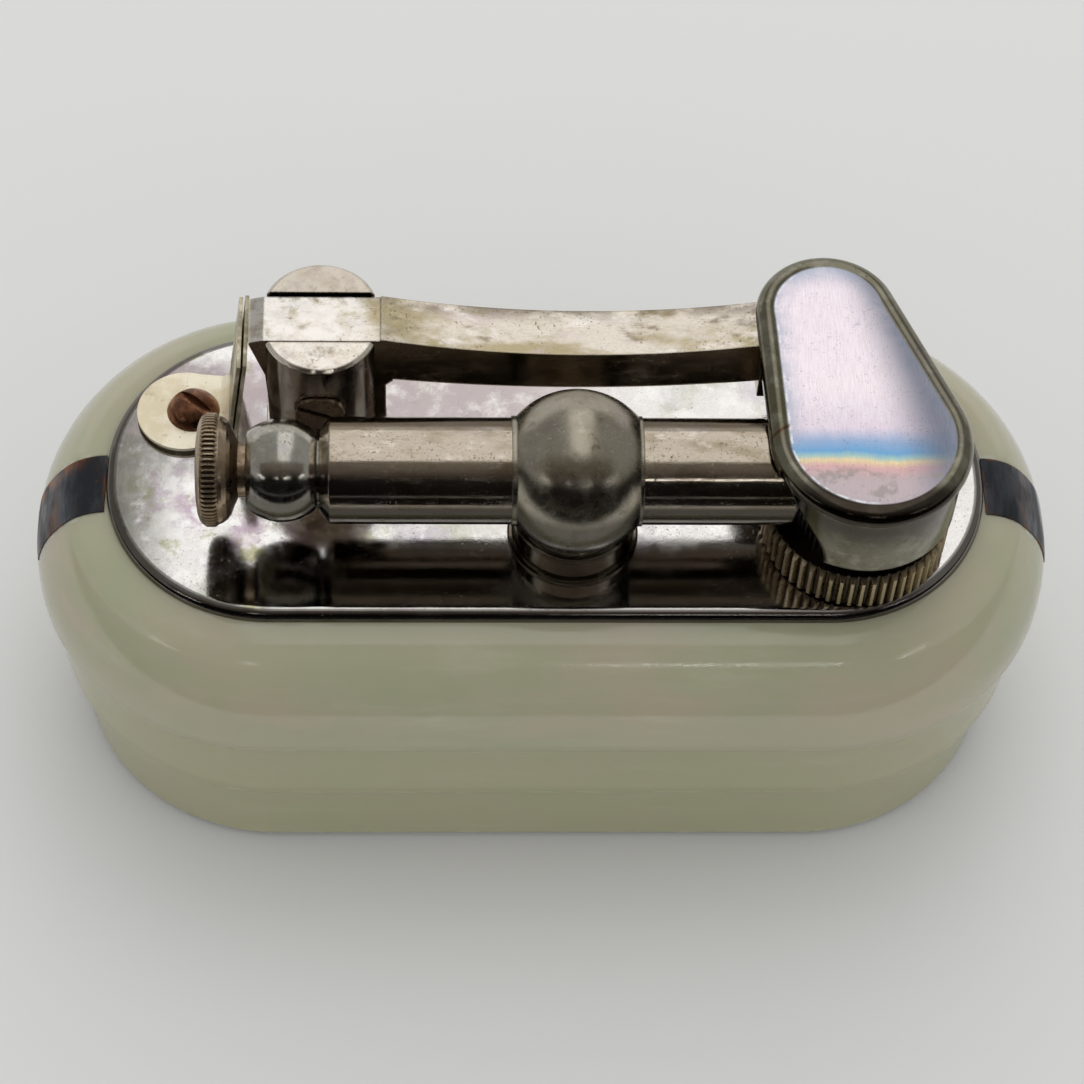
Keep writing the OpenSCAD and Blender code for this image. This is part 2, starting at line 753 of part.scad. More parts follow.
function coil_ring(t) = let (c = coil_point(t), lean = atan(spring_pitch / (2 * PI * spring_r)))
  [for (k = [0:5]) let (u = wire_r * cos(60 * k), v = wire_r * sin(60 * k))
    c + [v * cos(lean), u * cos(360 * t) + v * sin(lean) * sin(360 * t),
      u * sin(360 * t) - v * sin(lean) * cos(360 * t)]];

coil_rings = 8 * spring_n;
coil_points = [for (j = [0:coil_rings]) each coil_ring(j / 8)];
coil_gap = min([for (j = [8:16]) for (a = [0:5]) for (b = [0:5])
  norm(coil_points[6 * j + a] - coil_points[b])]);
echo(flint_spring_gap_mm = coil_gap);

module flint_spring() {
  n = coil_rings;
  color([0.55, 0.55, 0.57]) polyhedron(
    points = coil_points,
    faces = concat(
      [for (k = [1:4]) [0, k + 1, k]],
      [for (k = [1:4]) [6 * n, 6 * n + k, 6 * n + k + 1]],
      [for (j = [0:n - 1]) for (k = [0:5]) [6 * j + k, 6 * j + (k + 1) % 6, 6 * j + 6 + k]],
      [for (j = [0:n - 1]) for (k = [0:5])
        [6 * j + (k + 1) % 6, 6 * j + 6 + (k + 1) % 6, 6 * j + 6 + k]]));
}

module flint_follower() {
  color([0.72, 0.62, 0.36]) {
    rod_x(flint_back - head_l, flint_back, bore_r - run);
    rod_x(flint_back - head_l - 3, flint_back - 1, 0.65);
  }
}

module flint() {
  color([0.3, 0.29, 0.28]) rod_x(flint_back, flint_tip, bore_r - run - 0.04);
}

// Wheels

module wheel_axle() {
  color([0.6, 0.58, 0.55]) difference() {
    union() {
      rod(wheel_x, tube_y, axle_r, top - 2.6, top + 12.35);
      rod(wheel_x, tube_y, 2.6, deck, top + 1.3 - rub);
    }
    rod(wheel_x, tube_y, 0.8 + fix, top + 5.5, top + 20);
  }
}

module axle_nut() {
  color([0.7, 0.6, 0.34]) hex_nut(wheel_x, tube_y, 2.9, axle_r + fix);
}

module thumb_wheel() {
  color([0.36, 0.31, 0.25]) difference() {
    intersection() {
      translate([wheel_x, tube_y, top + 1]) linear_extrude(strike_bot)
        toothed(thumb_n, thumb_r, 0.5, 0.15, 0.12);
      translate([wheel_x, tube_y, top]) rotate_extrude($fn = 96)
        polygon([[0, 1.3], [thumb_r - 0.4, 1.3], [thumb_r + 0.05, 1.75], [thumb_r + 0.05, strike_bot - 0.55],
          [thumb_r - 0.4, strike_bot], [0, strike_bot]]);
    }
    rod(wheel_x, tube_y, axle_r + run, top, top + 20);
  }
}

module striking_wheel() {
  color([0.33, 0.33, 0.34]) difference() {
    translate([wheel_x, tube_y, top + strike_bot]) linear_extrude(strike_top - strike_bot)
      toothed(strike_n, strike_r, 0.22, 0.12, 0.16);
    rod(wheel_x, tube_y, axle_r + run, top, top + 20);
    rod(wheel_x, tube_y, 3, top + 12.3, top + 20);
  }
}

module wheel_washer() {
  color([0.7, 0.6, 0.34]) difference() {
    rod(wheel_x, tube_y, 2.6, top + 12.35, top + 12.75);
    rod(wheel_x, tube_y, 0.8 + fix, top, top + 20);
  }
}

module wheel_screw() {
  color([0.6, 0.58, 0.55]) difference() {
    union() {
      rod(wheel_x, tube_y, 2.1, top + 12.75, top + 13.85);
      rod(wheel_x, tube_y, 0.8, top + 6.5, top + 13);
    }
    translate([wheel_x, tube_y, top + 13.85]) cube([6, 0.6, 1], center = true);
  }
}

// Wick

module wick_tube() {
  color([0.74, 0.64, 0.4]) difference() {
    rod(wick_x, wick_y, wick_tube_r, lid_z - 3, top + 12);
    rod(wick_x, wick_y, wick_tube_r - 0.6, 0, top + 20);
  }
}

module wick() {
  color([0.85, 0.82, 0.74]) rod(wick_x, wick_y, wick_tube_r - 0.62, tank_z + 2, top + wick_h);
}

stone_body();
base_felt();
band_left();
band_right();
top_plate();
fuel_tank();
tank_lid();
cotton_wadding();
ring_nut();
filler_gasket();
filler_screw();
pivot_post();
post_nut();
pivot_screw();
lift_arm();
snuffer_cap();
snuffer_liner();
spring_leaf_outer();
spring_leaf_inner();
leaf_screw();
leaf_nut();
pedestal();
pedestal_nut();
tube_ball();
flint_tube();
end_ball();
flint_screw();
spring_seat();
flint_spring();
flint_follower();
flint();
wheel_axle();
axle_nut();
thumb_wheel();
striking_wheel();
wheel_washer();
wheel_screw();
wick_tube();
wick();
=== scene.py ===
import math
import random

import bpy
from mathutils import Matrix, Vector, noise


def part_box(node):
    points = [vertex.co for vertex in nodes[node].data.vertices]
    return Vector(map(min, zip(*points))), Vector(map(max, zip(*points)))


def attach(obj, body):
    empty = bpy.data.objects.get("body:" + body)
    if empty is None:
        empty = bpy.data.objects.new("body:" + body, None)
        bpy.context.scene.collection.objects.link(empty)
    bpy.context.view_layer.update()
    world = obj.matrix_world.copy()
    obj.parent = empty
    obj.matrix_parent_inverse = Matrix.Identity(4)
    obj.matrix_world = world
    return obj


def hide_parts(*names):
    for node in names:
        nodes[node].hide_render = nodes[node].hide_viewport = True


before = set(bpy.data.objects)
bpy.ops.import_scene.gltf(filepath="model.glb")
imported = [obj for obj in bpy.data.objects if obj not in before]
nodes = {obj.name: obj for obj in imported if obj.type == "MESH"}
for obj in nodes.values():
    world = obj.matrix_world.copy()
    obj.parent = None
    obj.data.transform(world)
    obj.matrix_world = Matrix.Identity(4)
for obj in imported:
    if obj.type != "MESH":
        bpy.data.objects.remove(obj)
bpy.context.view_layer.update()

mm = 0.001


# Small helpers

# Hex colour as the linear colour Blender wants
def srgb(text):
    parts = [int(text[i:i + 2], 16) / 255 for i in (1, 3, 5)]
    return tuple(c / 12.92 if c <= 0.04045 else ((c + 0.055) / 1.055) ** 2.4 for c in parts) + (1,)


def addNode(tree, kind, inputs=None, **settings):
    node = tree.nodes.new(kind)
    for key, value in settings.items():
        setattr(node, key, value)
    for name, value in (inputs or {}).items():
        if isinstance(value, bpy.types.NodeSocket):
            tree.links.new(value, node.inputs[name])
        else:
            node.inputs[name].default_value = value
    return node


def addObject(name, data):
    thing = bpy.data.objects.new(name, data)
    bpy.context.scene.collection.objects.link(thing)
    return thing


def newMaterial(name):
    material = bpy.data.materials.new(name)
    material.use_nodes = True
    tree = material.node_tree
    tree.nodes.clear()
    skin = addNode(tree, "ShaderNodeBsdfPrincipled")
    addNode(tree, "ShaderNodeOutputMaterial", {"Surface": skin.outputs["BSDF"]})
    return material, tree, skin


# The piece's own place in mm, drawn out along a brushing direction, so patterns stay put as it moves
def inMm(tree, stretch=(1, 1, 1), shift=0):
    where = addNode(tree, "ShaderNodeTexCoord")
    return addNode(tree, "ShaderNodeMapping", {"Vector": where.outputs["Object"], "Location": (shift,) * 3,
                                               "Scale": [1000 / s for s in stretch]}).outputs["Vector"]


# 0 to 1 patches of about this size
def clouds(tree, sizeMm, low, high, detail=4, stretch=(1, 1, 1), shift=0):
    grain = addNode(tree, "ShaderNodeTexNoise", {"Vector": inMm(tree, stretch, shift), "Scale": 1 / sizeMm,
                                                 "Detail": detail, "Roughness": 0.6})
    return addNode(tree, "ShaderNodeMapRange", {"Value": grain.outputs["Fac"], "From Min": low,
                                                "From Max": high},
                   interpolation_type="SMOOTHSTEP").outputs["Result"]


# Scattered round specks, most of them tiny: 1 inside a speck
def pits(tree, sizeMm, share, shift=0):
    cell = addNode(tree, "ShaderNodeTexVoronoi", {"Vector": inMm(tree, shift=shift), "Scale": 1 / sizeMm})
    chance = addNode(tree, "ShaderNodeSeparateColor", {"Color": cell.outputs["Color"]})
    reach = addNode(tree, "ShaderNodeMath", {0: chance.outputs["Red"], 1: 3.0}, operation="POWER")
    inside = addNode(tree, "ShaderNodeMath", {0: reach.outputs[0], 1: share, 2: -0.02},
                     operation="MULTIPLY_ADD")
    deep = addNode(tree, "ShaderNodeMath", {0: inside.outputs[0], 1: cell.outputs["Distance"]},
                   operation="SUBTRACT")
    return addNode(tree, "ShaderNodeMapRange", {"Value": deep.outputs[0], "From Min": 0.0,
                                                "From Max": 0.12}).outputs["Result"]


# Fine, uneven specks, crowded in some places and missing in others
def speckle(tree, sizeMm, patchMm, few, shift=0, stretch=(1, 1, 1)):
    dots = clouds(tree, sizeMm, few, few + 0.07, 3, stretch, shift)
    return meet(tree, dots, clouds(tree, patchMm, 0.36, 0.66, 4, shift=shift + 21))


# 1 along the corners of a piece, where it is rubbed or where dirt stays
def edges(tree, radiusMm, sharp=0.9):
    soft = addNode(tree, "ShaderNodeBevel", {"Radius": radiusMm * mm}, samples=4)
    true = addNode(tree, "ShaderNodeNewGeometry")
    turn = addNode(tree, "ShaderNodeVectorMath", {0: soft.outputs["Normal"], 1: true.outputs["Normal"]},
                   operation="DOT_PRODUCT")
    return addNode(tree, "ShaderNodeMapRange", {"Value": turn.outputs["Value"], "From Min": 1.0,
                                                "From Max": sharp}).outputs["Result"]


# Where all of these masks meet; a plain number weakens the rest
def meet(tree, *masks):
    total = masks[0]
    for mask in masks[1:]:
        total = addNode(tree, "ShaderNodeMath", {0: total, 1: mask}, operation="MULTIPLY").outputs[0]
    return total


# Base, with each (colour, mask) laid over it where the mask is 1; a third number says how strongly
def layered(tree, base, layers):
    colour = srgb(base) if isinstance(base, str) else base
    for over, mask, *share in layers:
        over = srgb(over) if isinstance(over, str) else over
        colour = addNode(tree, "ShaderNodeMix", {0: meet(tree, mask, *share), 6: colour, 7: over},
                         data_type="RGBA").outputs[2]
    return colour


# 0 to 1 between two places in mm along x, y or z
def along(tree, axis, low, high):
    parts = addNode(tree, "ShaderNodeSeparateXYZ", {"Vector": inMm(tree)})
    return addNode(tree, "ShaderNodeMapRange", {"Value": parts.outputs[axis], "From Min": low,
                                                "From Max": high},
                   interpolation_type="SMOOTHSTEP").outputs["Result"]


# 1 at one place in mm along x, y or z, falling to 0 between two distances from it
def near(tree, axis, at, full, gone):
    parts = addNode(tree, "ShaderNodeSeparateXYZ", {"Vector": inMm(tree)})
    off = addNode(tree, "ShaderNodeMath", {0: parts.outputs[axis], 1: at}, operation="SUBTRACT")
    far = addNode(tree, "ShaderNodeMath", {0: off.outputs[0]}, operation="ABSOLUTE")
    return addNode(tree, "ShaderNodeMapRange", {"Value": far.outputs[0], "From Min": gone,
                                                "From Max": full}).outputs["Result"]


# 1 on the faces of a piece that look along one of its own axes
def facing(tree, axis, low=0.5, high=0.9, sign=1):
    where = addNode(tree, "ShaderNodeTexCoord")
    parts = addNode(tree, "ShaderNodeSeparateXYZ", {"Vector": where.outputs["Normal"]})
    return addNode(tree, "ShaderNodeMapRange", {"Value": parts.outputs[axis], "From Min": sign * low,
                                                "From Max": sign * high}).outputs["Result"]


# 0 to 1 between two distances in mm from an axis through centre; keep drops the direction of that axis
def fromAxis(tree, centre, keep, low, high):
    shifted = addNode(tree, "ShaderNodeVectorMath", {0: inMm(tree), 1: centre}, operation="SUBTRACT")
    flat = addNode(tree, "ShaderNodeVectorMath", {0: shifted.outputs["Vector"], 1: keep},
                   operation="MULTIPLY")
    away = addNode(tree, "ShaderNodeVectorMath", {0: flat.outputs["Vector"]}, operation="LENGTH")
    return addNode(tree, "ShaderNodeMapRange", {"Value": away.outputs["Value"], "From Min": low,
                                                "From Max": high}).outputs["Result"]


upright, lengthways = (1, 1, 0), (0, 1, 1)  # keep for an axis along Z, and for one along X


# Roughness between two values by a mask, and a bump from (mask, depth in mm) pairs over a softened edge
def finish(tree, skin, roughLow, roughHigh, roughMask, heights, edgeMm):
    rough = addNode(tree, "ShaderNodeMapRange", {"Value": roughMask, "To Min": roughLow, "To Max": roughHigh})
    tree.links.new(rough.outputs["Result"], skin.inputs["Roughness"])
    normal = addNode(tree, "ShaderNodeBevel", {"Radius": edgeMm * mm}, samples=4).outputs["Normal"]
    for mask, depth in heights:
        normal = addNode(tree, "ShaderNodeBump", {"Height": mask, "Distance": abs(depth) * mm,
                                                  "Strength": 1.0, "Normal": normal},
                         invert=depth < 0).outputs["Normal"]
    tree.links.new(normal, skin.inputs["Normal"])


def dress(material, *names):
    for name in names:
        nodes[name].data.materials.clear()
        nodes[name].data.materials.append(material)


# Camera, fitted to the deck, tube, wheels and stone in the 1084 x 1084 frame

view = {
    "framePx": 1084, "focalPx": 3199.86, "sensorMm": 36,
    "elevation": 0.9787, "yaw": 0.0724, "roll": -0.0625,  # radians
    "aimMm": (-0.53, -6.65, 30), "distanceMm": 269.646,
}


def makeCamera(v):
    ce, se = math.cos(v["elevation"]), math.sin(v["elevation"])
    cy, sy = math.cos(v["yaw"]), math.sin(v["yaw"])
    forward = Vector((sy * ce, cy * ce, -se))
    level = Vector((cy, -sy, 0))
    below = forward.cross(level)
    right = level * math.cos(v["roll"]) + below * math.sin(v["roll"])
    down = below * math.cos(v["roll"]) - level * math.sin(v["roll"])
    data = bpy.data.cameras.new("camera")
    data.sensor_width = v["sensorMm"]
    data.lens = v["sensorMm"] * v["focalPx"] / v["framePx"]
    data.clip_start, data.clip_end = 0.01, 10
    camera = addObject("camera", data)
    spot = Vector(v["aimMm"]) * mm - forward * v["distanceMm"] * mm
    turn = Matrix((right, -down, -forward)).transposed().to_4x4()
    camera.matrix_world = Matrix.Translation(spot) @ turn
    bpy.context.scene.camera = camera


makeCamera(view)
print("camera: placed")


# Onyx marble, sawn and polished: a milky stone with a glassy skin, faint clouds and a few rusty flecks

stone = {
    "body": "#a8a48c", "green": "#a0a287", "rose": "#aba38e", "milk": "#b7b49e", "fleck": "#6e6040",
    "rubbed": "#dcd8c8", "stepShade": "#6e6a50", "olive": "#a19f78", "cloudMm": 16, "veinMm": 7, "fleckMm": 13,
    "deepMm": 5, "ior": 1.58, "roughLow": 0.07, "roughHigh": 0.2,  # the index is that of calcite
    "stepTopMm": (19.75, 10.7), "stepSideMm": (19.6, 10.6),  # heights of the painted shade along the two steps
    "tiersMm": (19.9, 19.2),  # painted shade: below the shoulder the stone is darker and more olive
}


def onyx(look):
    material, tree, skin = newMaterial("polishedOnyx")
    green = clouds(tree, look["cloudMm"], 0.38, 0.66, 3, (1.6, 1.2, 0.8))
    rose = clouds(tree, look["cloudMm"], 0.45, 0.7, 3, (1.3, 1, 0.5), 31)
    milk = clouds(tree, look["veinMm"], 0.52, 0.78, 6, (2.4, 1.5, 0.35), 57)
    fleck = meet(tree, pits(tree, look["fleckMm"], 0.075, 12), clouds(tree, 0.5, 0.3, 0.55, 3))
    rub = meet(tree, edges(tree, 0.7, 0.85), clouds(tree, 3, 0.48, 0.62, 4, shift=9))
    layers = [(look["green"], green), (look["rose"], rose), (look["milk"], milk, 0.5),
              (look["olive"], along(tree, "Z", *look["tiersMm"]), 0.5)]
    # Painted shade along the two steps, darkest on the faces just under each overhang
    for z in look["stepSideMm"]:
        side = meet(tree, near(tree, "Z", z, 0.1, 1.6), facing(tree, "Z", 0.9, 0.5))
        layers.append((look["stepShade"], side, 0.4))
    for z in look["stepTopMm"]:
        top = meet(tree, near(tree, "Z", z, 0.1, 1.1), facing(tree, "Z", 0.3, 0.6))
        layers.append((look["stepShade"], top, 0.5))
    layers += [(look["rubbed"], rub), (look["fleck"], fleck)]
    tree.links.new(layered(tree, look["body"], layers), skin.inputs["Base Color"])
    skin.inputs["IOR"].default_value = look["ior"]
    skin.inputs["Subsurface Weight"].default_value = 0.5
    skin.inputs["Subsurface Radius"].default_value = (1.0, 0.95, 0.7)
    skin.inputs["Subsurface Scale"].default_value = look["deepMm"] * mm
    finish(tree, skin, look["roughLow"], look["roughHigh"], clouds(tree, 2, 0.4, 0.75, 5, shift=3),
           [(clouds(tree, 0.8, 0.2, 0.8, 3, shift=5), 0.004), (fleck, -0.08)], 0.35)
    return material


dress(onyx(stone), "stone_body")


# Electroplated silver on brass, polished: a warm mirror, fogged by tarnish that runs beige, violet and brown

deckLook = {
    "clean": "#ebe7e4", "beige": "#cccbbd", "violet": "#cdc3d0", "brown": "#aaa195", "milk": "#f8f5f2",
    "speck": "#6d665d", "edge": "#a8a196", "grain": "#8b8175",
    "beigeMm": 6, "violetMm": 4.5, "brownMm": 3.2, "milkMm": 2.6, "speckMm": 0.24, "speckFew": 0.64,
    "beigeFrom": 0.5, "violetFrom": 0.5, "brownFrom": 0.6, "milkFrom": 0.5, "stretch": (1, 1, 1), "shift": 4,
    "hazeMm": 3.5, "hazeFrom": 0.42, "roughLow": 0.03, "roughHigh": 0.2, "edgeMm": 0.12,
}
armLook = dict(deckLook, clean="#e2d8cb", beige="#b5a887", violet="#c9b6b9", brown="#7d6d55", milk="#f7efe6",
               speck="#3f352a", edge="#d9cdb9", beigeMm=3.4, violetMm=2.6, brownMm=1.6, milkMm=2.2,
               speckMm=0.26, speckFew=0.6, beigeFrom=0.42, violetFrom=0.55, brownFrom=0.56, milkFrom=0.55,
               stretch=(2.2, 1, 1), shift=18, hazeMm=1.5, roughLow=0.12, roughHigh=0.3, edgeMm=0.22)
postLook = dict(armLook, clean="#f3ebe0", beige="#cfc3b2", brown="#7d6f5d", stretch=(1, 1, 1), shift=44,
                speckFew=0.63)
tubeLook = dict(deckLook, clean="#c0b4a4", beige="#a3957f", violet="#b0a3a0", brown="#70614f", milk="#d9cfc2",
                speck="#4a4135", edge="#4c4136", beigeMm=2.2, violetMm=3.2, brownMm=1.1, milkMm=1.1,
                speckMm=0.2, speckFew=0.6, beigeFrom=0.45, violetFrom=0.52, brownFrom=0.6, milkFrom=0.56,
                stretch=(2.2, 1, 1), shift=71, hazeMm=1.4, roughLow=0.09, roughHigh=0.2, edgeMm=0.2)
ballLook = dict(tubeLook, clean="#a9a292", beige="#948b76", violet="#9a9089", brown="#655a45", milk="#bab4a8",
                speck="#d2ccbc", edge="#4e4636", stretch=(1, 1, 1), beigeMm=3.4, milkMm=0.8, shift=103,
                speckFew=0.6, roughLow=0.21, roughHigh=0.34)
endLook = dict(ballLook, clean="#c0bcb2", beige="#a7a293", violet="#a8a3a4", brown="#6b6252", milk="#cfcbc2",
               speck="#4a4338", shift=111, roughLow=0.13, roughHigh=0.22)
footLook = dict(tubeLook, clean="#756e61", beige="#635a49", violet="#6b645d", milk="#8c8477", shift=117,
                stretch=(1, 1, 1))


def silverPlate(name, look, extra=None):
    material, tree, skin = newMaterial(name)
    stretch, shift = look["stretch"], look["shift"]

    def patches(tone, soft, detail, more):
        start = look[tone + "From"]
        return clouds(tree, look[tone + "Mm"], start, start + soft, detail, stretch, shift + more)

    # The real crystal grain and brush lines are finer: both are drawn as coarse as they need to show
    grain = clouds(tree, 0.16, 0.3, 0.75, 3, stretch, shift + 3)
    brush = tuple(12 * s if s == max(stretch) and s > 1 else s for s in stretch)
    fine = clouds(tree, 0.1, 0.3, 0.7, 2, brush)
    speck = speckle(tree, look["speckMm"], 3, look["speckFew"], shift)
    colour = layered(tree, look["clean"], [
        (look["beige"], patches("beige", 0.2, 6, 0)),
        (look["violet"], patches("violet", 0.2, 5, 7), 0.8),
        (look["brown"], patches("brown", 0.16, 7, 13), 0.7),
        (look["milk"], patches("milk", 0.14, 7, 37), 0.8),
        (look["speck"], speck, 0.75), (look["edge"], edges(tree, look["edgeMm"] * 1.6, 0.85), 0.6),
        (look["grain"], grain, 0.16)])
    if extra:
        colour = extra(tree, colour)
    tree.links.new(colour, skin.inputs["Base Color"])
    skin.inputs["Metallic"].default_value = 1.0
    finish(tree, skin, look["roughLow"], look["roughHigh"], patches("haze", 0.3, 6, 51),
           [(fine, 0.0008), (clouds(tree, 1.6, 0.3, 0.7, 3, shift=shift), 0.002), (speck, -0.006)],
           look["edgeMm"])
    return material


# Where each piece has gone dull or stayed bright, and where shade and highlights are painted: colours, and
# places in mm on the standing lighter
deckMarks = {
    "pink": "#bfa9ba", "yellow": "#aeac82", "white": "#f6f4f1", "footShadow": "#8d8a88", "rim": "#85857b",
    "shade": "#b3a5a6", "rimShade": "#5a534d", "leftMm": (-4, -24), "rimMm": (-30, -36),
    "springFootMm": (-30.2, 5.7, 0), "footShadowMm": (7.2, 4.6), "shadeMm": (9, -5), "shadeLine": (7.4, 2.6, 4.6),
}
postMarks = {"back": "#b5a999", "wall": "#6f6457", "backMm": (7, 9)}
tubeMarks = {"back": "#5a4c38", "low": "#4a463e", "under": "#453e35", "backMm": (-5.5, -4.6),
             "lowMm": (41.4, 40.6), "underMm": (38.2, 37)}
ballMarks = {"low": "#5f5b52", "under": "#45423b", "lowMm": (42.2, 40.8), "underMm": (38.8, 37.4)}
footMarks = {"line": "#b8935a", "lineMm": (30.42, 30.24)}
armMarks = {"back": "#6a5c49", "front": "#a9967b", "block": "#f6f1ec", "backMm": (6.6, 8.4),
            "blockMm": (-14.5, -16.5)}


# The deck is never wiped at its left end, and clouds there white, pink and yellow, darker at the far left
# edge; painted shadow lies round the spring's foot, and painted shade in a band near the back and on the
# rounded rim wherever it turns down from level
def deckTarnishAndShade(tree, colour):
    marks = deckMarks
    left = along(tree, "X", *marks["leftMm"])
    white = meet(tree, left, clouds(tree, 2.4, 0.48, 0.6, 7, shift=88))
    pink = meet(tree, left, clouds(tree, 3.4, 0.48, 0.62, 5, shift=94))
    yellow = meet(tree, left, clouds(tree, 3.0, 0.52, 0.64, 5, shift=97))
    # Painted shadow round the spring's foot
    footShadow = meet(tree, fromAxis(tree, marks["springFootMm"], upright, *marks["footShadowMm"]),
                clouds(tree, 1.4, 0.3, 0.56, 5))
    rim = meet(tree, along(tree, "X", *marks["rimMm"]), clouds(tree, 1.6, 0.2, 0.5, 5, shift=3))
    shade = meet(tree, along(tree, "X", *marks["shadeMm"]), near(tree, "Y", *marks["shadeLine"]),
                 clouds(tree, 2.2, 0.26, 0.52, 6, shift=19))
    return layered(tree, colour, [
        (marks["pink"], pink, 0.85), (marks["yellow"], yellow, 0.85), (marks["white"], white, 0.8),
        (marks["footShadow"], footShadow, 0.75), (marks["rim"], rim, 0.85), (marks["shade"], shade, 0.85),
        # Painted shade on the rounded rim, wherever it turns down from level
        (marks["rimShade"], facing(tree, "Z", 0.998, 0.96), 0.85)])


# Duller on the back ear, and painted shade on the post's upright faces
def postTarnishAndShade(tree, colour):
    return layered(tree, colour, [(postMarks["back"], along(tree, "Y", *postMarks["backMm"]), 0.6),
                                  (postMarks["wall"], facing(tree, "Z", 0.6, 0.2), 0.6)])


# Browner on the side away from the thumb, where the tube isn't rubbed, with painted shade on its lower part
# and underneath
def tubeTarnishAndShade(tree, colour):
    back = meet(tree, along(tree, "Y", *tubeMarks["backMm"]), clouds(tree, 2.2, 0.1, 0.44, 4, (2, 1, 1), 5))
    return layered(tree, colour, [(tubeMarks["back"], back, 0.9),
                                  (tubeMarks["low"], along(tree, "Z", *tubeMarks["lowMm"]), 0.95),
                                  (tubeMarks["under"], along(tree, "Z", *tubeMarks["underMm"]), 0.95)])


# Painted shade: the turned pieces are darker underneath
def darkBelow(tree, colour):
    return layered(tree, colour, [(ballMarks["under"], along(tree, "Z", *ballMarks["underMm"]), 0.9)])


# Painted shade: the balls are darker lower down too, where they show the deck before them
def shadeBelow(tree, colour):
    low = along(tree, "Z", *ballMarks["lowMm"])
    return darkBelow(tree, layered(tree, colour, [(ballMarks["low"], low, 0.85)]))


# The foot of the pedestal keeps a golden brown line where the polish was wiped against it
def footLine(tree, colour):
    return layered(tree, colour, [(footMarks["line"], along(tree, "Z", *footMarks["lineMm"]), 0.9)])


# Darker along the back edge, where fingers don't rub; painted shade on the front faces and a painted
# highlight on the block's top over the hinge
def armTarnishAndShade(tree, colour):
    top = facing(tree, "Z")
    back = meet(tree, along(tree, "Y", *armMarks["backMm"]), top, clouds(tree, 1.6, 0.35, 0.6, 5, (2, 1, 1)))
    block = meet(tree, along(tree, "X", *armMarks["blockMm"]), top, clouds(tree, 2, 0.66, 0.44, 5, shift=6))
    return layered(tree, colour, [(armMarks["back"], back, 0.7),
                                  (armMarks["front"], facing(tree, "Y", 0.3, 0.8, -1), 0.75),
                                  (armMarks["block"], block, 0.85)])


dress(silverPlate("foggedSilverPlateDeck", deckLook, deckTarnishAndShade), "top_plate")
dress(silverPlate("rubbedSilverPlatePost", postLook, postTarnishAndShade), "pivot_post")
dress(silverPlate("dulledAndShadedSilverPlateTube", tubeLook, tubeTarnishAndShade), "flint_tube")
dress(silverPlate("dulledSilverPlateFoot", footLook, footLine), "pedestal")
dress(silverPlate("foggedAndShadedSilverPlateBall", ballLook, shadeBelow), "tube_ball")
dress(silverPlate("polishedSilverPlateEnd", endLook, shadeBelow), "end_ball")
dress(silverPlate("rubbedSilverPlateArm", armLook, armTarnishAndShade), "lift_arm")


# The cap: the same plate, brushed lengthways on top, where heat and tarnish have left oil-film colours, with
# painted shade, painted dark reflections and a painted highlight laid over them

capLook = dict(deckLook, clean="#7b7767", beige="#6d6955", violet="#716c66", brown="#4b4537", milk="#908c7d",
               speck="#3e392f", edge="#5c5545", beigeMm=3.2, violetMm=3, brownMm=1.8, milkMm=1.6, speckMm=0.2,
               speckFew=0.62, beigeFrom=0.46, shift=131, hazeMm=2, roughLow=0.05, roughHigh=0.13, edgeMm=0.25)
capTop = {
    "wide": (25.59, -6.7, 0), "narrow": (22.9, 6.0, 0), "wideR": 8.26, "narrowR": 5.96, "creaseMm": 1.44,
    "bands": [(-15, "#c0adb1"), (-13.2, "#bfb1b3"), (-11, "#bdaeb0"), (-9.9, "#d8adac"), (-9.3, "#e6d2a4"),
              (-8.95, "#a6c8c0"), (-8.4, "#68a6d4"), (-7.4, "#93afd2"), (-6.0, "#e2d6e2"), (-2.0, "#f6eaf0"),
              (8.0, "#f2e6ee"), (11.0, "#b9bfcd")],
    "blueRim": "#aab4c6", "rightFade": "#5f6a79", "farFade": "#9aa3b0", "brush": "#a9949f", "spot": "#6f6660",
    "glintLine": "#e3e7ee", "dull": "#908a84", "roll": "#2c2320", "wall": "#423f38", "inside": "#4b4238",
    "soot": "#2c2621", "seam": "#5a3c28",
    "blueMm": (-8.6, -6.5), "dullMm": (-9.6, -10.4), "insideMm": (45.2, 44.7), "rollMm": (-10.6, -12.6),
    "rollTopMm": (43.9, 44.3), "wallTopMm": (44.2, 43.6), "wallLowMm": (39.5, 43.2),
    "seamAcross": (-0.574, 0.819, 0), "seamAt": -15.6, "seamMm": (19.1, 18.8),
}


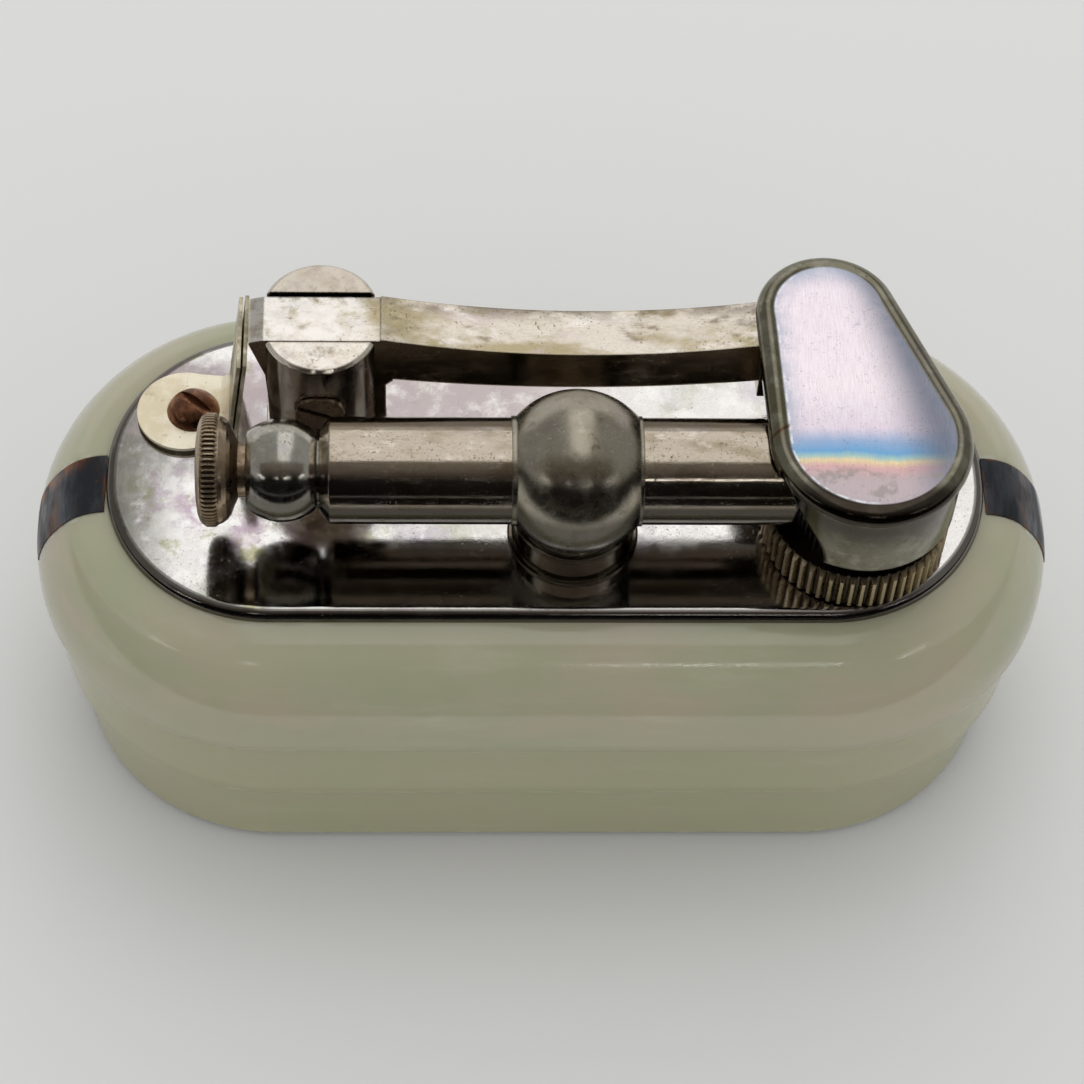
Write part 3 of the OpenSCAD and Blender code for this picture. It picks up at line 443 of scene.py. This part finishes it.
def capFilmAndShade(tree, colour):
    cap = capTop
    axis = [b - a for a, b in zip(cap["wide"], cap["narrow"])]
    length2 = sum(c * c for c in axis)
    length = length2 ** 0.5

    # How far a place is along the egg's middle line, from that line, and in from the egg's outline
    flat = addNode(tree, "ShaderNodeVectorMath", {0: inMm(tree), 1: upright}, operation="MULTIPLY")
    rel = addNode(tree, "ShaderNodeVectorMath", {0: flat.outputs["Vector"], 1: cap["wide"]},
                  operation="SUBTRACT")
    dot = addNode(tree, "ShaderNodeVectorMath", {0: rel.outputs["Vector"], 1: [c / length2 for c in axis]},
                  operation="DOT_PRODUCT")
    step = addNode(tree, "ShaderNodeMath", {0: dot.outputs["Value"], 1: 1.0}, operation="MULTIPLY",
                   use_clamp=True)
    foot = addNode(tree, "ShaderNodeVectorMath", {0: axis, "Scale": step.outputs[0]}, operation="SCALE")
    off = addNode(tree, "ShaderNodeVectorMath", {0: rel.outputs["Vector"], 1: foot.outputs["Vector"]},
                  operation="SUBTRACT")
    away = addNode(tree, "ShaderNodeVectorMath", {0: off.outputs["Vector"]}, operation="LENGTH")
    radius = addNode(tree, "ShaderNodeMapRange", {"Value": step.outputs[0], "To Min": cap["wideR"],
                                                  "To Max": cap["narrowR"]})
    share = addNode(tree, "ShaderNodeMath", {0: away.outputs["Value"], 1: radius.outputs["Result"]},
                    operation="DIVIDE")
    inset = addNode(tree, "ShaderNodeMath", {0: radius.outputs["Result"], 1: away.outputs["Value"]},
                    operation="SUBTRACT")
    side = addNode(tree, "ShaderNodeVectorMath", {0: rel.outputs["Vector"],
                                                  1: (axis[1] / length, -axis[0] / length, 0)},
                   operation="DOT_PRODUCT")

    # The film's colours lie in bands across the cap
    parts = addNode(tree, "ShaderNodeSeparateXYZ", {"Vector": inMm(tree)})
    waver = addNode(tree, "ShaderNodeTexNoise", {"Vector": inMm(tree, (1, 3, 1)), "Scale": 0.5, "Detail": 3})
    level = addNode(tree, "ShaderNodeMath", {0: waver.outputs["Fac"], 1: 1.0, 2: parts.outputs["Y"]},
                    operation="MULTIPLY_ADD")
    bands = cap["bands"]
    low, high = bands[0][0], bands[-1][0]
    put = addNode(tree, "ShaderNodeMapRange", {"Value": level.outputs[0], "From Min": low + 0.5,
                                               "From Max": high + 0.5})
    ramp = addNode(tree, "ShaderNodeValToRGB", {"Fac": put.outputs["Result"]})
    for i, (y, hexColour) in enumerate(bands):
        at = (y - low) / (high - low)
        stop = ramp.color_ramp.elements[i] if i < 2 else ramp.color_ramp.elements.new(at)
        stop.position, stop.color = at, srgb(hexColour)

    # Painted shade: the film greys to the right and the far end, and turns blue along the crease; a painted
    # highlight runs along the crease on the left
    right = addNode(tree, "ShaderNodeMapRange", {"Value": side.outputs["Value"], "From Min": 1.0,
                                                 "From Max": 5.6}, interpolation_type="SMOOTHSTEP")
    left = addNode(tree, "ShaderNodeMapRange", {"Value": side.outputs["Value"], "From Min": -1.0,
                                                "From Max": -2.5})
    far = addNode(tree, "ShaderNodeMapRange", {"Value": share.outputs[0], "From Min": 0.66,
                                               "From Max": 0.92}, interpolation_type="SMOOTHSTEP")
    crease = cap["creaseMm"]
    panel = addNode(tree, "ShaderNodeMapRange", {"Value": inset.outputs[0], "From Min": crease - 0.08,
                                                 "From Max": crease + 0.08})
    inner = addNode(tree, "ShaderNodeMapRange", {"Value": inset.outputs[0], "From Min": crease + 0.26,
                                                 "From Max": crease + 0.16})
    blue = addNode(tree, "ShaderNodeMapRange", {"Value": inset.outputs[0], "From Min": crease + 1.7,
                                                "From Max": crease + 0.1})
    blueRim = meet(tree, blue.outputs["Result"], along(tree, "Y", *cap["blueMm"]),
                   clouds(tree, 2.0, 0.2, 0.6, 4, shift=41))
    glintLine = meet(tree, inner.outputs["Result"], left.outputs["Result"],
                     clouds(tree, 1.2, 0.44, 0.58, 4, shift=47))
    brush = clouds(tree, 0.11, 0.3, 0.72, 3, (1, 14, 1), 7)  # brush lines, as coarse as they need be
    dull = meet(tree, clouds(tree, 1.3, 0.5, 0.64, 5, shift=63), along(tree, "Y", *cap["dullMm"]))
    filmAndShade = layered(tree, ramp.outputs["Color"], [
        (cap["blueRim"], blueRim, 0.75), (cap["rightFade"], right.outputs["Result"], 0.9),
        (cap["farFade"], far.outputs["Result"], 0.3), (cap["brush"], brush, 0.24),
        (cap["spot"], speckle(tree, 0.22, 2.5, 0.62, 5), 0.5), (cap["glintLine"], glintLine, 0.8),
        (cap["dull"], dull, 0.6)])

    # A painted dark reflection on the roll in front, painted shade on the walls, soot inside and a seam over
    # the bead
    roll = meet(tree, along(tree, "Y", *cap["rollMm"]), along(tree, "Z", *cap["rollTopMm"]))
    wall = meet(tree, along(tree, "Z", *cap["wallTopMm"]), along(tree, "Z", *cap["wallLowMm"]))
    inside = meet(tree, facing(tree, "Z", 0.2, 0.8, -1), along(tree, "Z", *cap["insideMm"]))
    across = addNode(tree, "ShaderNodeVectorMath", {0: inMm(tree), 1: cap["seamAcross"]},
                     operation="DOT_PRODUCT")
    off = addNode(tree, "ShaderNodeMath", {0: across.outputs["Value"], 1: cap["seamAt"]},
                  operation="SUBTRACT")
    off = addNode(tree, "ShaderNodeMath", {0: off.outputs[0]}, operation="ABSOLUTE")
    line = addNode(tree, "ShaderNodeMapRange", {"Value": off.outputs[0], "From Min": 0.2, "From Max": 0.08})
    seam = meet(tree, line.outputs["Result"], along(tree, "X", *cap["seamMm"]))
    return layered(tree, colour, [
        (cap["roll"], roll, 0.85), (cap["wall"], wall, 0.85),
        (filmAndShade, meet(tree, panel.outputs["Result"], facing(tree, "Z", 0.5, 0.8))), (cap["inside"], inside),
        (cap["soot"], meet(tree, inside, clouds(tree, 3, 0.3, 0.6, 5))), (cap["seam"], seam, 0.8)])


dress(silverPlate("brushedSilverPlateCap", capLook, capFilmAndShade), "snuffer_cap")
print("silver: deck, post, arm, cap and tube")


# Plain metals of the working pieces

# Rolled spring strip of nickel silver, dulled: yellowish grey, almost without gloss on the foot
springLook = {"base": "#fff6e0", "dull": "#efe2c4", "dark": "#b0a487", "roughLow": 0.36, "roughHigh": 0.54,
              "metallic": 0.5}
# Mild steel strap, once plated, now blue-grey with rust creeping in from its edges
strapLook = {"base": "#5b5e63", "dull": "#3c3e43", "dark": "#7a4a26", "roughLow": 0.22, "roughHigh": 0.5}
# Turned copper-brown screw, its plating worn off
copperLook = {"base": "#9a6a4e", "dull": "#74503d", "dark": "#3d2a20", "roughLow": 0.22, "roughHigh": 0.42}
# Knurled and turned bronze-brown, the plating left only in patches
knobLook = {"base": "#ad9a84", "dull": "#93806a", "dark": "#4d4134", "roughLow": 0.22, "roughHigh": 0.42}
# Milled bronze wheel, dark in the cuts and bright on the crests
wheelLook = {"base": "#c9b799", "dull": "#a89579", "dark": "#5b4e3d", "roughLow": 0.25, "roughHigh": 0.45}
# Hardened tool steel, file-cut: grey, sharp and dusty with flint
fileLook = {"base": "#6f6e6c", "dull": "#565452", "dark": "#2f2c2a", "roughLow": 0.3, "roughHigh": 0.55}
# Drawn and turned brass: yellow, a little browned
brassLook = {"base": "#c2a462", "dull": "#a3864a", "dark": "#6b5430", "roughLow": 0.2, "roughHigh": 0.4}
# Bright drawn steel: pale, cool and fairly glossy
steelLook = {"base": "#b9b7b3", "dull": "#989590", "dark": "#5f5a54", "roughLow": 0.18, "roughHigh": 0.36}
# Pressed cerium alloy: dark grey, matt and grainy
flintLook = {"base": "#54514e", "dull": "#403d3b", "dark": "#2b2928", "roughLow": 0.5, "roughHigh": 0.75}


def bareMetal(name, look, sizeMm=2.0, stretch=(1, 1, 1), shift=0, edgeMm=0.12, extra=None):
    material, tree, skin = newMaterial(name)
    dull = clouds(tree, sizeMm, 0.4, 0.62, 5, stretch, shift)
    dark = clouds(tree, sizeMm * 0.6, 0.55, 0.75, 6, stretch, shift + 11)
    speck = pits(tree, 0.4, 0.4, shift)
    grain = clouds(tree, 0.14, 0.3, 0.7, 2, tuple(8 * s if s > 1 else s for s in stretch), shift + 5)
    colour = layered(tree, look["base"], [(look["dull"], dull), (look["dark"], dark, 0.8),
                                          (look["dark"], speck, 0.6), (look["dull"], grain, 0.3)])
    if extra:
        colour = extra(tree, colour)
    tree.links.new(colour, skin.inputs["Base Color"])
    skin.inputs["Metallic"].default_value = look.get("metallic", 1.0)
    finish(tree, skin, look["roughLow"], look["roughHigh"], dull, [(grain, 0.002), (speck, -0.01)], edgeMm)
    return material


# Rust and wear: colours, and distances in mm from the axis that each piece was turned about
wear = {
    "axleAt": (25.59, -6.33, 0), "tubeAt": (0, -6.33, 39.95), "knobAt": (-27.84, -6.33, 39.95),
    "rustEdge": "#8a5226", "rustPatch": "#a05c28", "patchY": (0.3, 2.0), "patchX": (-38, -43),
    "toothRoot": "#1f1a15", "toothCrest": "#b7a98e", "toothRootMm": (7.62, 7.32), "toothCrestMm": (7.6, 7.75),
    "fileCrest": "#c0bdb6", "fileCrestMm": (5.36, 5.46),
    "knurlRoot": "#2e261e", "knurlCrest": "#b5a489", "knurlRootMm": (4.5, 4.42), "knurlCrestMm": (4.52, 4.64),
    "knurlWideMm": (0.62, 0.5), "blade": "#7c7456", "bladeMm": (32.6, 34.5), "slot": "#2a1d15",
}


# Rust starts at the strap's edges, with one patch where it goes over the shoulder
def strapRust(tree, colour):
    edge = meet(tree, edges(tree, 0.5, 0.8), clouds(tree, 1.6, 0.4, 0.6, 4, shift=3))
    patch = meet(tree, along(tree, "Y", *wear["patchY"]), along(tree, "X", *wear["patchX"]),
                 clouds(tree, 1.2, 0.35, 0.6))
    return layered(tree, colour, [(wear["rustEdge"], edge), (wear["rustPatch"], patch)])


# Soot between the teeth and worn crests
def wheelWear(tree, colour):
    root = fromAxis(tree, wear["axleAt"], upright, *wear["toothRootMm"])
    crest = fromAxis(tree, wear["axleAt"], upright, *wear["toothCrestMm"])
    return layered(tree, colour, [(wear["toothRoot"], root, 0.85), (wear["toothCrest"], crest, 0.85)])


# The file's crests are scoured bright by the flint
def fileWear(tree, colour):
    crest = fromAxis(tree, wear["axleAt"], upright, *wear["fileCrestMm"])
    return layered(tree, colour, [(wear["fileCrest"], crest, 0.8)])


# Dirt in the knurl's grooves, brass rubbed bare on its crests, and painted shade underneath
def knobWearAndShade(tree, colour):
    crest = fromAxis(tree, wear["tubeAt"], lengthways, *wear["knurlCrestMm"])
    ring = meet(tree, fromAxis(tree, wear["tubeAt"], lengthways, *wear["knurlRootMm"]),
                fromAxis(tree, wear["knobAt"], (1, 0, 0), *wear["knurlWideMm"]))
    colour = layered(tree, colour, [(wear["knurlRoot"], ring, 0.85), (wear["knurlCrest"], crest, 0.7)])
    return darkBelow(tree, colour)


# The blades are darker and olive above the foot
def bladeOlive(tree, colour):
    blade = meet(tree, along(tree, "Z", *wear["bladeMm"]), clouds(tree, 1.4, 0.24, 0.6, 5, (1, 1, 2), 3))
    return layered(tree, colour, [(wear["blade"], blade, 0.85)])


# Dirt in the slot and round the head
def slotDirt(tree, colour):
    return layered(tree, colour, [(wear["slot"], edges(tree, 0.35, 0.7), 0.45)])


dress(bareMetal("rolledNickelSilver", springLook, 2.5, shift=2, edgeMm=0.05, extra=bladeOlive),
      "spring_leaf_outer", "spring_leaf_inner")
dress(bareMetal("rustySteelStrap", strapLook, 3.0, (1, 3, 1), 5, 0.08, strapRust), "band_left", "band_right")
dress(bareMetal("turnedCopperScrew", copperLook, 1.2, shift=7, edgeMm=0.12, extra=slotDirt), "leaf_screw")
dress(bareMetal("turnedScrewHead", knobLook, 1.2, shift=8, edgeMm=0.1, extra=slotDirt), "pivot_screw")
dress(bareMetal("knurledBronze", knobLook, 1.5, shift=9, edgeMm=0.06, extra=knobWearAndShade), "flint_screw")
dress(bareMetal("milledBronze", wheelLook, 1.5, shift=13, edgeMm=0.05, extra=wheelWear), "thumb_wheel")
dress(bareMetal("fileCutSteel", fileLook, 1.5, shift=17, edgeMm=0.03, extra=fileWear), "striking_wheel")
dress(bareMetal("turnedBrass", brassLook, 3.0, shift=19), "tank_lid", "fuel_tank", "ring_nut", "filler_screw",
      "post_nut", "leaf_nut", "pedestal_nut", "axle_nut", "spring_seat", "flint_follower", "wheel_washer",
      "wick_tube", "snuffer_liner")
dress(bareMetal("brightSteel", steelLook, 2.0, shift=23), "wheel_axle", "wheel_screw", "flint_spring")
dress(bareMetal("pressedFlint", flintLook, 0.6, shift=29, edgeMm=0.05), "flint")


# Moulded nitrile ring: black-brown, matt, a little greasy

gasket = {"rubber": "#262423", "bloom": "#3a3735", "bloomMm": 1.5, "grainMm": 0.2, "roughLow": 0.45,
          "roughHigh": 0.7, "edgeMm": 0.15}


def nitrile(look):
    material, tree, skin = newMaterial("mouldedNitrile")
    bloom = clouds(tree, look["bloomMm"], 0.4, 0.7)
    tree.links.new(layered(tree, look["rubber"], [(look["bloom"], bloom)]), skin.inputs["Base Color"])
    finish(tree, skin, look["roughLow"], look["roughHigh"], bloom,
           [(clouds(tree, look["grainMm"], 0.3, 0.7), 0.01)], look["edgeMm"])
    return material


dress(nitrile(gasket), "filler_gasket")
print("metals and rubber: dressed")


# Soft pieces: braided wick, cotton wadding and the baize under the stone

# A smooth piece on the base that stands for one of the solids
def softPiece(name, mesh, material, nodeName):
    mesh.materials.clear()
    mesh.materials.append(material)
    for face in mesh.polygons:
        face.use_smooth = True
    mesh.update()
    piece = addObject(name, mesh)
    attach(piece, "base")
    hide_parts(nodeName)
    return piece


wick = {"strands": 9, "around": 90, "stepMm": 0.16, "bumpMm": 0.2, "pitchMm": 5.0, "hollowMm": 0.1,
        "tufts": 46, "tuftMm": 0.55, "tuftWideMm": 0.11, "tuftRootMm": 0.25, "threadMm": 0.3,
        "fresh": "#d9cfb6", "shade": "#a3967a", "char": "#2d2620", "charFromMm": 41.6, "charToMm": 42.7}
baize = {"nap": "#2f4a37", "worn": "#4c6a52", "fluffMm": 0.06, "threadMm": 0.35, "edgeMm": 0.12,
         "wornMm": 6, "cellMm": 0.34, "areaShare": 0.93}
wadding = {"fibre": "#ded8c8", "shade": "#b9b09a", "fluffMm": 0.5, "tuftMm": 3.0, "threadMm": 0.8,
           "cellMm": 0.7}


# Carded or spun cotton: matt, warm white, soft at its edge
def cottonCloth(name, light, shade, threadMm, burnt=None):
    material, tree, skin = newMaterial(name)
    hollow = clouds(tree, threadMm, 0.35, 0.65, 3, (1, 1, 2))
    stain = clouds(tree, threadMm * 9, 0.45, 0.7)
    layers = [(shade, hollow), (shade, stain, 0.5)]
    if burnt:
        layers.append((burnt[0], along(tree, "Z", burnt[1], burnt[2])))
    tree.links.new(layered(tree, light, layers), skin.inputs["Base Color"])
    skin.inputs["Sheen Weight"].default_value = 0.35
    skin.inputs["Sheen Roughness"].default_value = 0.5
    finish(tree, skin, 0.8, 0.95, hollow, [(hollow, 0.03)], 0.05)
    return material


def makeWick(w):
    low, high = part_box("wick")
    cx, cy, r = (low.x + high.x) / 2, (low.y + high.y) / 2, (high.x - low.x) / 2
    n, rows = w["around"], int((high.z - low.z) / (w["stepMm"] * mm))
    verts, faces = [], []
    for k in range(rows + 1):
        z = low.z + (high.z - low.z) * k / rows
        climb = 2 * math.pi * (z - low.z) / (w["pitchMm"] * mm)
        for i in range(n):
            a = 2 * math.pi * i / n
            one = math.sin(w["strands"] / 2 * (a + climb))
            two = math.sin(w["strands"] / 2 * (a - climb) + math.pi / 4)
            lift = max(abs(one), abs(two))  # the strand on top of the crossing
            rr = r - w["bumpMm"] * mm * (1 - lift)
            verts.append((cx + rr * math.cos(a), cy + rr * math.sin(a), z))
    for k in range(rows):
        for i in range(n):
            j = (i + 1) % n
            faces.append((k * n + i, k * n + j, (k + 1) * n + j, (k + 1) * n + i))
    for k, z in ((0, low.z), (rows, high.z - w["hollowMm"] * mm)):  # the two ends
        centre = len(verts)
        verts.append((cx, cy, z))
        for i in range(n):
            j = (i + 1) % n
            faces.append((centre, k * n + i, k * n + j) if k else (centre, k * n + j, k * n + i))
    draw = random.Random(7)
    for _ in range(w["tufts"]):  # cut fibre ends standing out of the top
        a, q = draw.uniform(0, 2 * math.pi), r * math.sqrt(draw.uniform(0, 0.9))
        x, y, lean = cx + q * math.cos(a), cy + q * math.sin(a), draw.uniform(0.1, 0.5)
        tall, wide = w["tuftMm"] * draw.uniform(0.5, 1) * mm, w["tuftWideMm"] * mm
        b = len(verts)
        for m in range(3):
            c = a + 2 * math.pi * m / 3
            verts.append((x + wide * math.cos(c), y + wide * math.sin(c), high.z - w["tuftRootMm"] * mm))
        verts.append((x + tall * lean * math.cos(a), y + tall * lean * math.sin(a), high.z + tall))
        faces += [(b, b + 1, b + 3), (b + 1, b + 2, b + 3), (b + 2, b, b + 3), (b, b + 2, b + 1)]
    material = cottonCloth("braidedCottonWick", w["fresh"], w["shade"], w["threadMm"],
                           (w["char"], w["charFromMm"], w["charToMm"]))
    mesh = bpy.data.meshes.new("braided_wick")
    mesh.from_pydata(verts, [], faces)
    mesh.validate()
    softPiece("braided_wick", mesh, material, "wick")


makeWick(wick)


# A copy of a solid's mesh, cut fine enough to be given a soft surface
def softCopy(nodeName, name, cellMm, material, push):
    work = addObject(name, nodes[nodeName].data.copy())
    remesh = work.modifiers.new("remesh", "REMESH")
    remesh.mode, remesh.voxel_size = "VOXEL", cellMm * mm
    shape = work.evaluated_get(bpy.context.evaluated_depsgraph_get())
    mesh = bpy.data.meshes.new_from_object(shape)
    bpy.data.objects.remove(work)
    draw = random.Random(11)
    for v, normal in [(v, v.normal.copy()) for v in mesh.vertices]:
        v.co += normal * push(v.co, normal, draw) * mm
    return softPiece(name, mesh, material, nodeName)


def packCotton(w):
    def push(co, normal, draw):
        return -w["fluffMm"] * (0.5 + 0.5 * noise.noise(co / (w["tuftMm"] * mm)) + 0.3 * draw.random())

    cloth = cottonCloth("cardedCotton", w["fibre"], w["shade"], w["threadMm"])
    softCopy("cotton_wadding", "carded_wadding", w["cellMm"], cloth, push)


# Milled wool baize: deep green and matt, with a soft nap that is paler where it rubs the table
def layBaize(b):
    material, tree, skin = newMaterial("milledWoolBaize")
    thread = clouds(tree, b["threadMm"], 0.35, 0.65, 3)
    worn = clouds(tree, b["wornMm"], 0.5, 0.7)
    tree.links.new(layered(tree, b["nap"], [(b["worn"], thread, 0.6), (b["worn"], worn)]),
                   skin.inputs["Base Color"])
    skin.inputs["Sheen Weight"].default_value = 0.5
    finish(tree, skin, 0.85, 1.0, thread, [(thread, 0.05)], 0.1)

    def push(co, normal, draw):
        side = 1 - abs(normal.z)
        flat = b["fluffMm"] * (0.5 + 0.5 * noise.noise(co / (b["threadMm"] * mm)))
        return -flat if side < 0.5 else -b["edgeMm"] * (0.4 + draw.random() * 0.6)

    piece = softCopy("base_felt", "baize_pad", b["cellMm"], material, push)


packCotton(wadding)
layBaize(baize)
print("wick, wadding and baize: made")


# Studio: pale table, a soft key lamp, a long strip softbox overhead, and the room that polished metal shows

studio = {
    "table": "#dcdcdb", "tableRough": 0.8, "tableSizeM": 3.0, "backdrop": "#e6e6e6", "ambient": 0.93,
    "centre": (0, -0.006, 0.04),
    "keyM": (0.5, 0.4), "keyAt": (0.0, 0.24, 0.44), "keyAim": (0, 0, 0.03), "keyWatt": 0.41,
    "stripM": (0.214, 0.66), "stripAngle": -23, "stripAwayM": 0.42, "stripX": 0.032, "stripWatt": 0.31,
    "tubeAngle": 53, "tubeAwayM": 0.40, "tubeHighM": 0.01, "tubeGlow": 5.0,
    "tubes": [(-46, 0.09), (-13, 0.03), (10, 0.09), (43, 0.09)],  # turned by these degrees, and their lengths
    # from and to in degrees, and the tone at the top and near the table
    "screens": [("grey_screen", -64, 16, "#a3a3a1", "#a3a3a1"),
                ("brown_screen", 16, 54, "#7b756d", "#302c28"),
                ("black_screen", 54, 93, "#1c1b1a", "#121110")],
    "screenAwayM": 0.6, "screenHalfM": 0.7, "screenStep": 4,
    "boardFrontM": 0.3, "boardBackM": 0.05, "boardEndM": 0.25, "boardFootM": 0.001,
    "deskFrontM": -0.095, "deskLiftM": (0.0006, 0.0007), "black": "#161514",
}


# Something only a mirror sees: it keeps its own level and takes no light from the table
def mirrorSheet(name, verts, faces, high, low):
    mesh = bpy.data.meshes.new(name)
    mesh.from_pydata(verts, [], faces)
    material = bpy.data.materials.new(name)
    material.use_nodes = True
    tree = material.node_tree
    tree.nodes.clear()
    tops = [v[2] / mm for v in verts]
    colour = layered(tree, low, [(high, along(tree, "Z", min(tops), max(tops)))])
    glow = addNode(tree, "ShaderNodeEmission", {"Color": colour, "Strength": 1.0})
    addNode(tree, "ShaderNodeOutputMaterial", {"Surface": glow.outputs["Emission"]})
    material.cycles.emission_sampling = "NONE"
    mesh.materials.append(material)
    sheet = addObject(name, mesh)
    sheet.visible_camera = sheet.visible_shadow = sheet.visible_diffuse = False
    sheet.visible_transmission = sheet.visible_volume_scatter = False


def setStudio(s):
    h = s["tableSizeM"] / 2
    mesh = bpy.data.meshes.new("table_top")
    mesh.from_pydata([(-h, -h, 0), (h, -h, 0), (h, h, 0), (-h, h, 0)], [], [(0, 1, 2, 3)])
    material, tree, skin = newMaterial("paintedTable")
    skin.inputs["Base Color"].default_value = srgb(s["table"])
    skin.inputs["Roughness"].default_value = s["tableRough"]
    mesh.materials.append(material)
    addObject("table_top", mesh)

    # Angles run from straight up towards the front; the screens are parts of one barrel along X
    cx, cy, cz = s["centre"]

    def spot(degrees, away, x=0.0):
        a = math.radians(degrees)
        return (cx + x, cy - away * math.sin(a), cz + away * math.cos(a))

    wide, away = s["screenHalfM"], s["screenAwayM"]
    for name, low, high, nearTop, nearTable in s["screens"]:
        steps = max(4, round((high - low) / s["screenStep"]))
        angles = [low + (high - low) * i / steps for i in range(steps + 1)]
        mirrorSheet(name, [spot(a, away, x) for a in angles for x in (-wide, wide)],
                    [(2 * i, 2 * i + 1, 2 * i + 3, 2 * i + 2) for i in range(steps)], nearTop, nearTable)

    # The barrel's open ends: dark boards low down, sloping to the back, and grey ones above them
    tall, short, end, foot = s["boardFrontM"], s["boardBackM"], s["boardEndM"], s["boardFootM"]
    grey = s["screens"][0][3]
    for side in (-1, 1):
        edge = side * wide
        mirrorSheet(f"side_board_{side + 1}", [(edge, -away, foot), (edge, end, foot), (edge, end, short),
                                               (edge, -away, tall)], [(0, 1, 2, 3)], s["black"], s["black"])
        mirrorSheet(f"upper_board_{side + 1}", [(edge, -away, tall), (edge, end, short), (edge, away, short),
                                                (edge, away, away + cz), (edge, -away, away + cz)],
                    [(0, 1, 2, 3, 4)], grey, grey)
    front, (lift, farLift) = s["deskFrontM"], s["deskLiftM"]
    # Painted shade: a black sheet on the table in front, seen only in mirrors
    mirrorSheet("desk_shade_sheet", [(-wide, front, lift), (-wide, -away, lift), (wide, -away, farLift),
                              (wide, front, farLift)], [(0, 1, 2, 3)], s["black"], s["black"])

    def lamp(name, size, at, aim, watt, mirrored=True):
        data = bpy.data.lights.new(name, "AREA")
        data.shape, (data.size, data.size_y), data.energy = "RECTANGLE", size, watt
        light = addObject(name, data)
        light.location = at
        light.rotation_euler = (Vector(aim) - Vector(at)).to_track_quat("-Z", "Y").to_euler()
        light.visible_camera = False
        light.visible_glossy = mirrored

    lamp("key", s["keyM"], s["keyAt"], s["keyAim"], s["keyWatt"], mirrored=False)
    lamp("strip", s["stripM"], spot(s["stripAngle"], s["stripAwayM"], s["stripX"]),
         (cx + s["stripX"], cy, cz), s["stripWatt"])
    for i, (turn, size) in enumerate(s["tubes"]):
        away = s["tubeAwayM"] * math.cos(math.radians(turn))
        at = spot(s["tubeAngle"], away, s["tubeAwayM"] * math.sin(math.radians(turn)))
        lamp(f"tube_{i}", (size, s["tubeHighM"]), at, (cx, cy, cz),
             s["tubeGlow"] * math.pi * size * s["tubeHighM"])

    # The camera and the mirrors see the backdrop at full strength; its light on all else is weaker
    world = bpy.data.worlds.new("room")
    bpy.context.scene.world = world
    world.use_nodes = True
    tree = world.node_tree
    tree.nodes.clear()
    path = addNode(tree, "ShaderNodeLightPath")
    seen = addNode(tree, "ShaderNodeMath", {0: path.outputs["Is Camera Ray"],
                                            1: path.outputs["Is Glossy Ray"]}, operation="MAXIMUM")
    seen = addNode(tree, "ShaderNodeMath", {0: seen.outputs[0], 1: path.outputs["Is Transmission Ray"]},
                   operation="MAXIMUM")
    ambient = addNode(tree, "ShaderNodeBackground", {"Color": srgb(s["backdrop"]), "Strength": s["ambient"]})
    backdrop = addNode(tree, "ShaderNodeBackground", {"Color": srgb(s["backdrop"]), "Strength": 1.0})
    both = addNode(tree, "ShaderNodeMixShader", {0: seen.outputs[0], 1: ambient.outputs[0],
                                                 2: backdrop.outputs[0]})
    addNode(tree, "ShaderNodeOutputWorld", {"Surface": both.outputs[0]})
    bpy.context.scene.view_settings.view_transform = "Standard"


setStudio(studio)
print("studio: set")
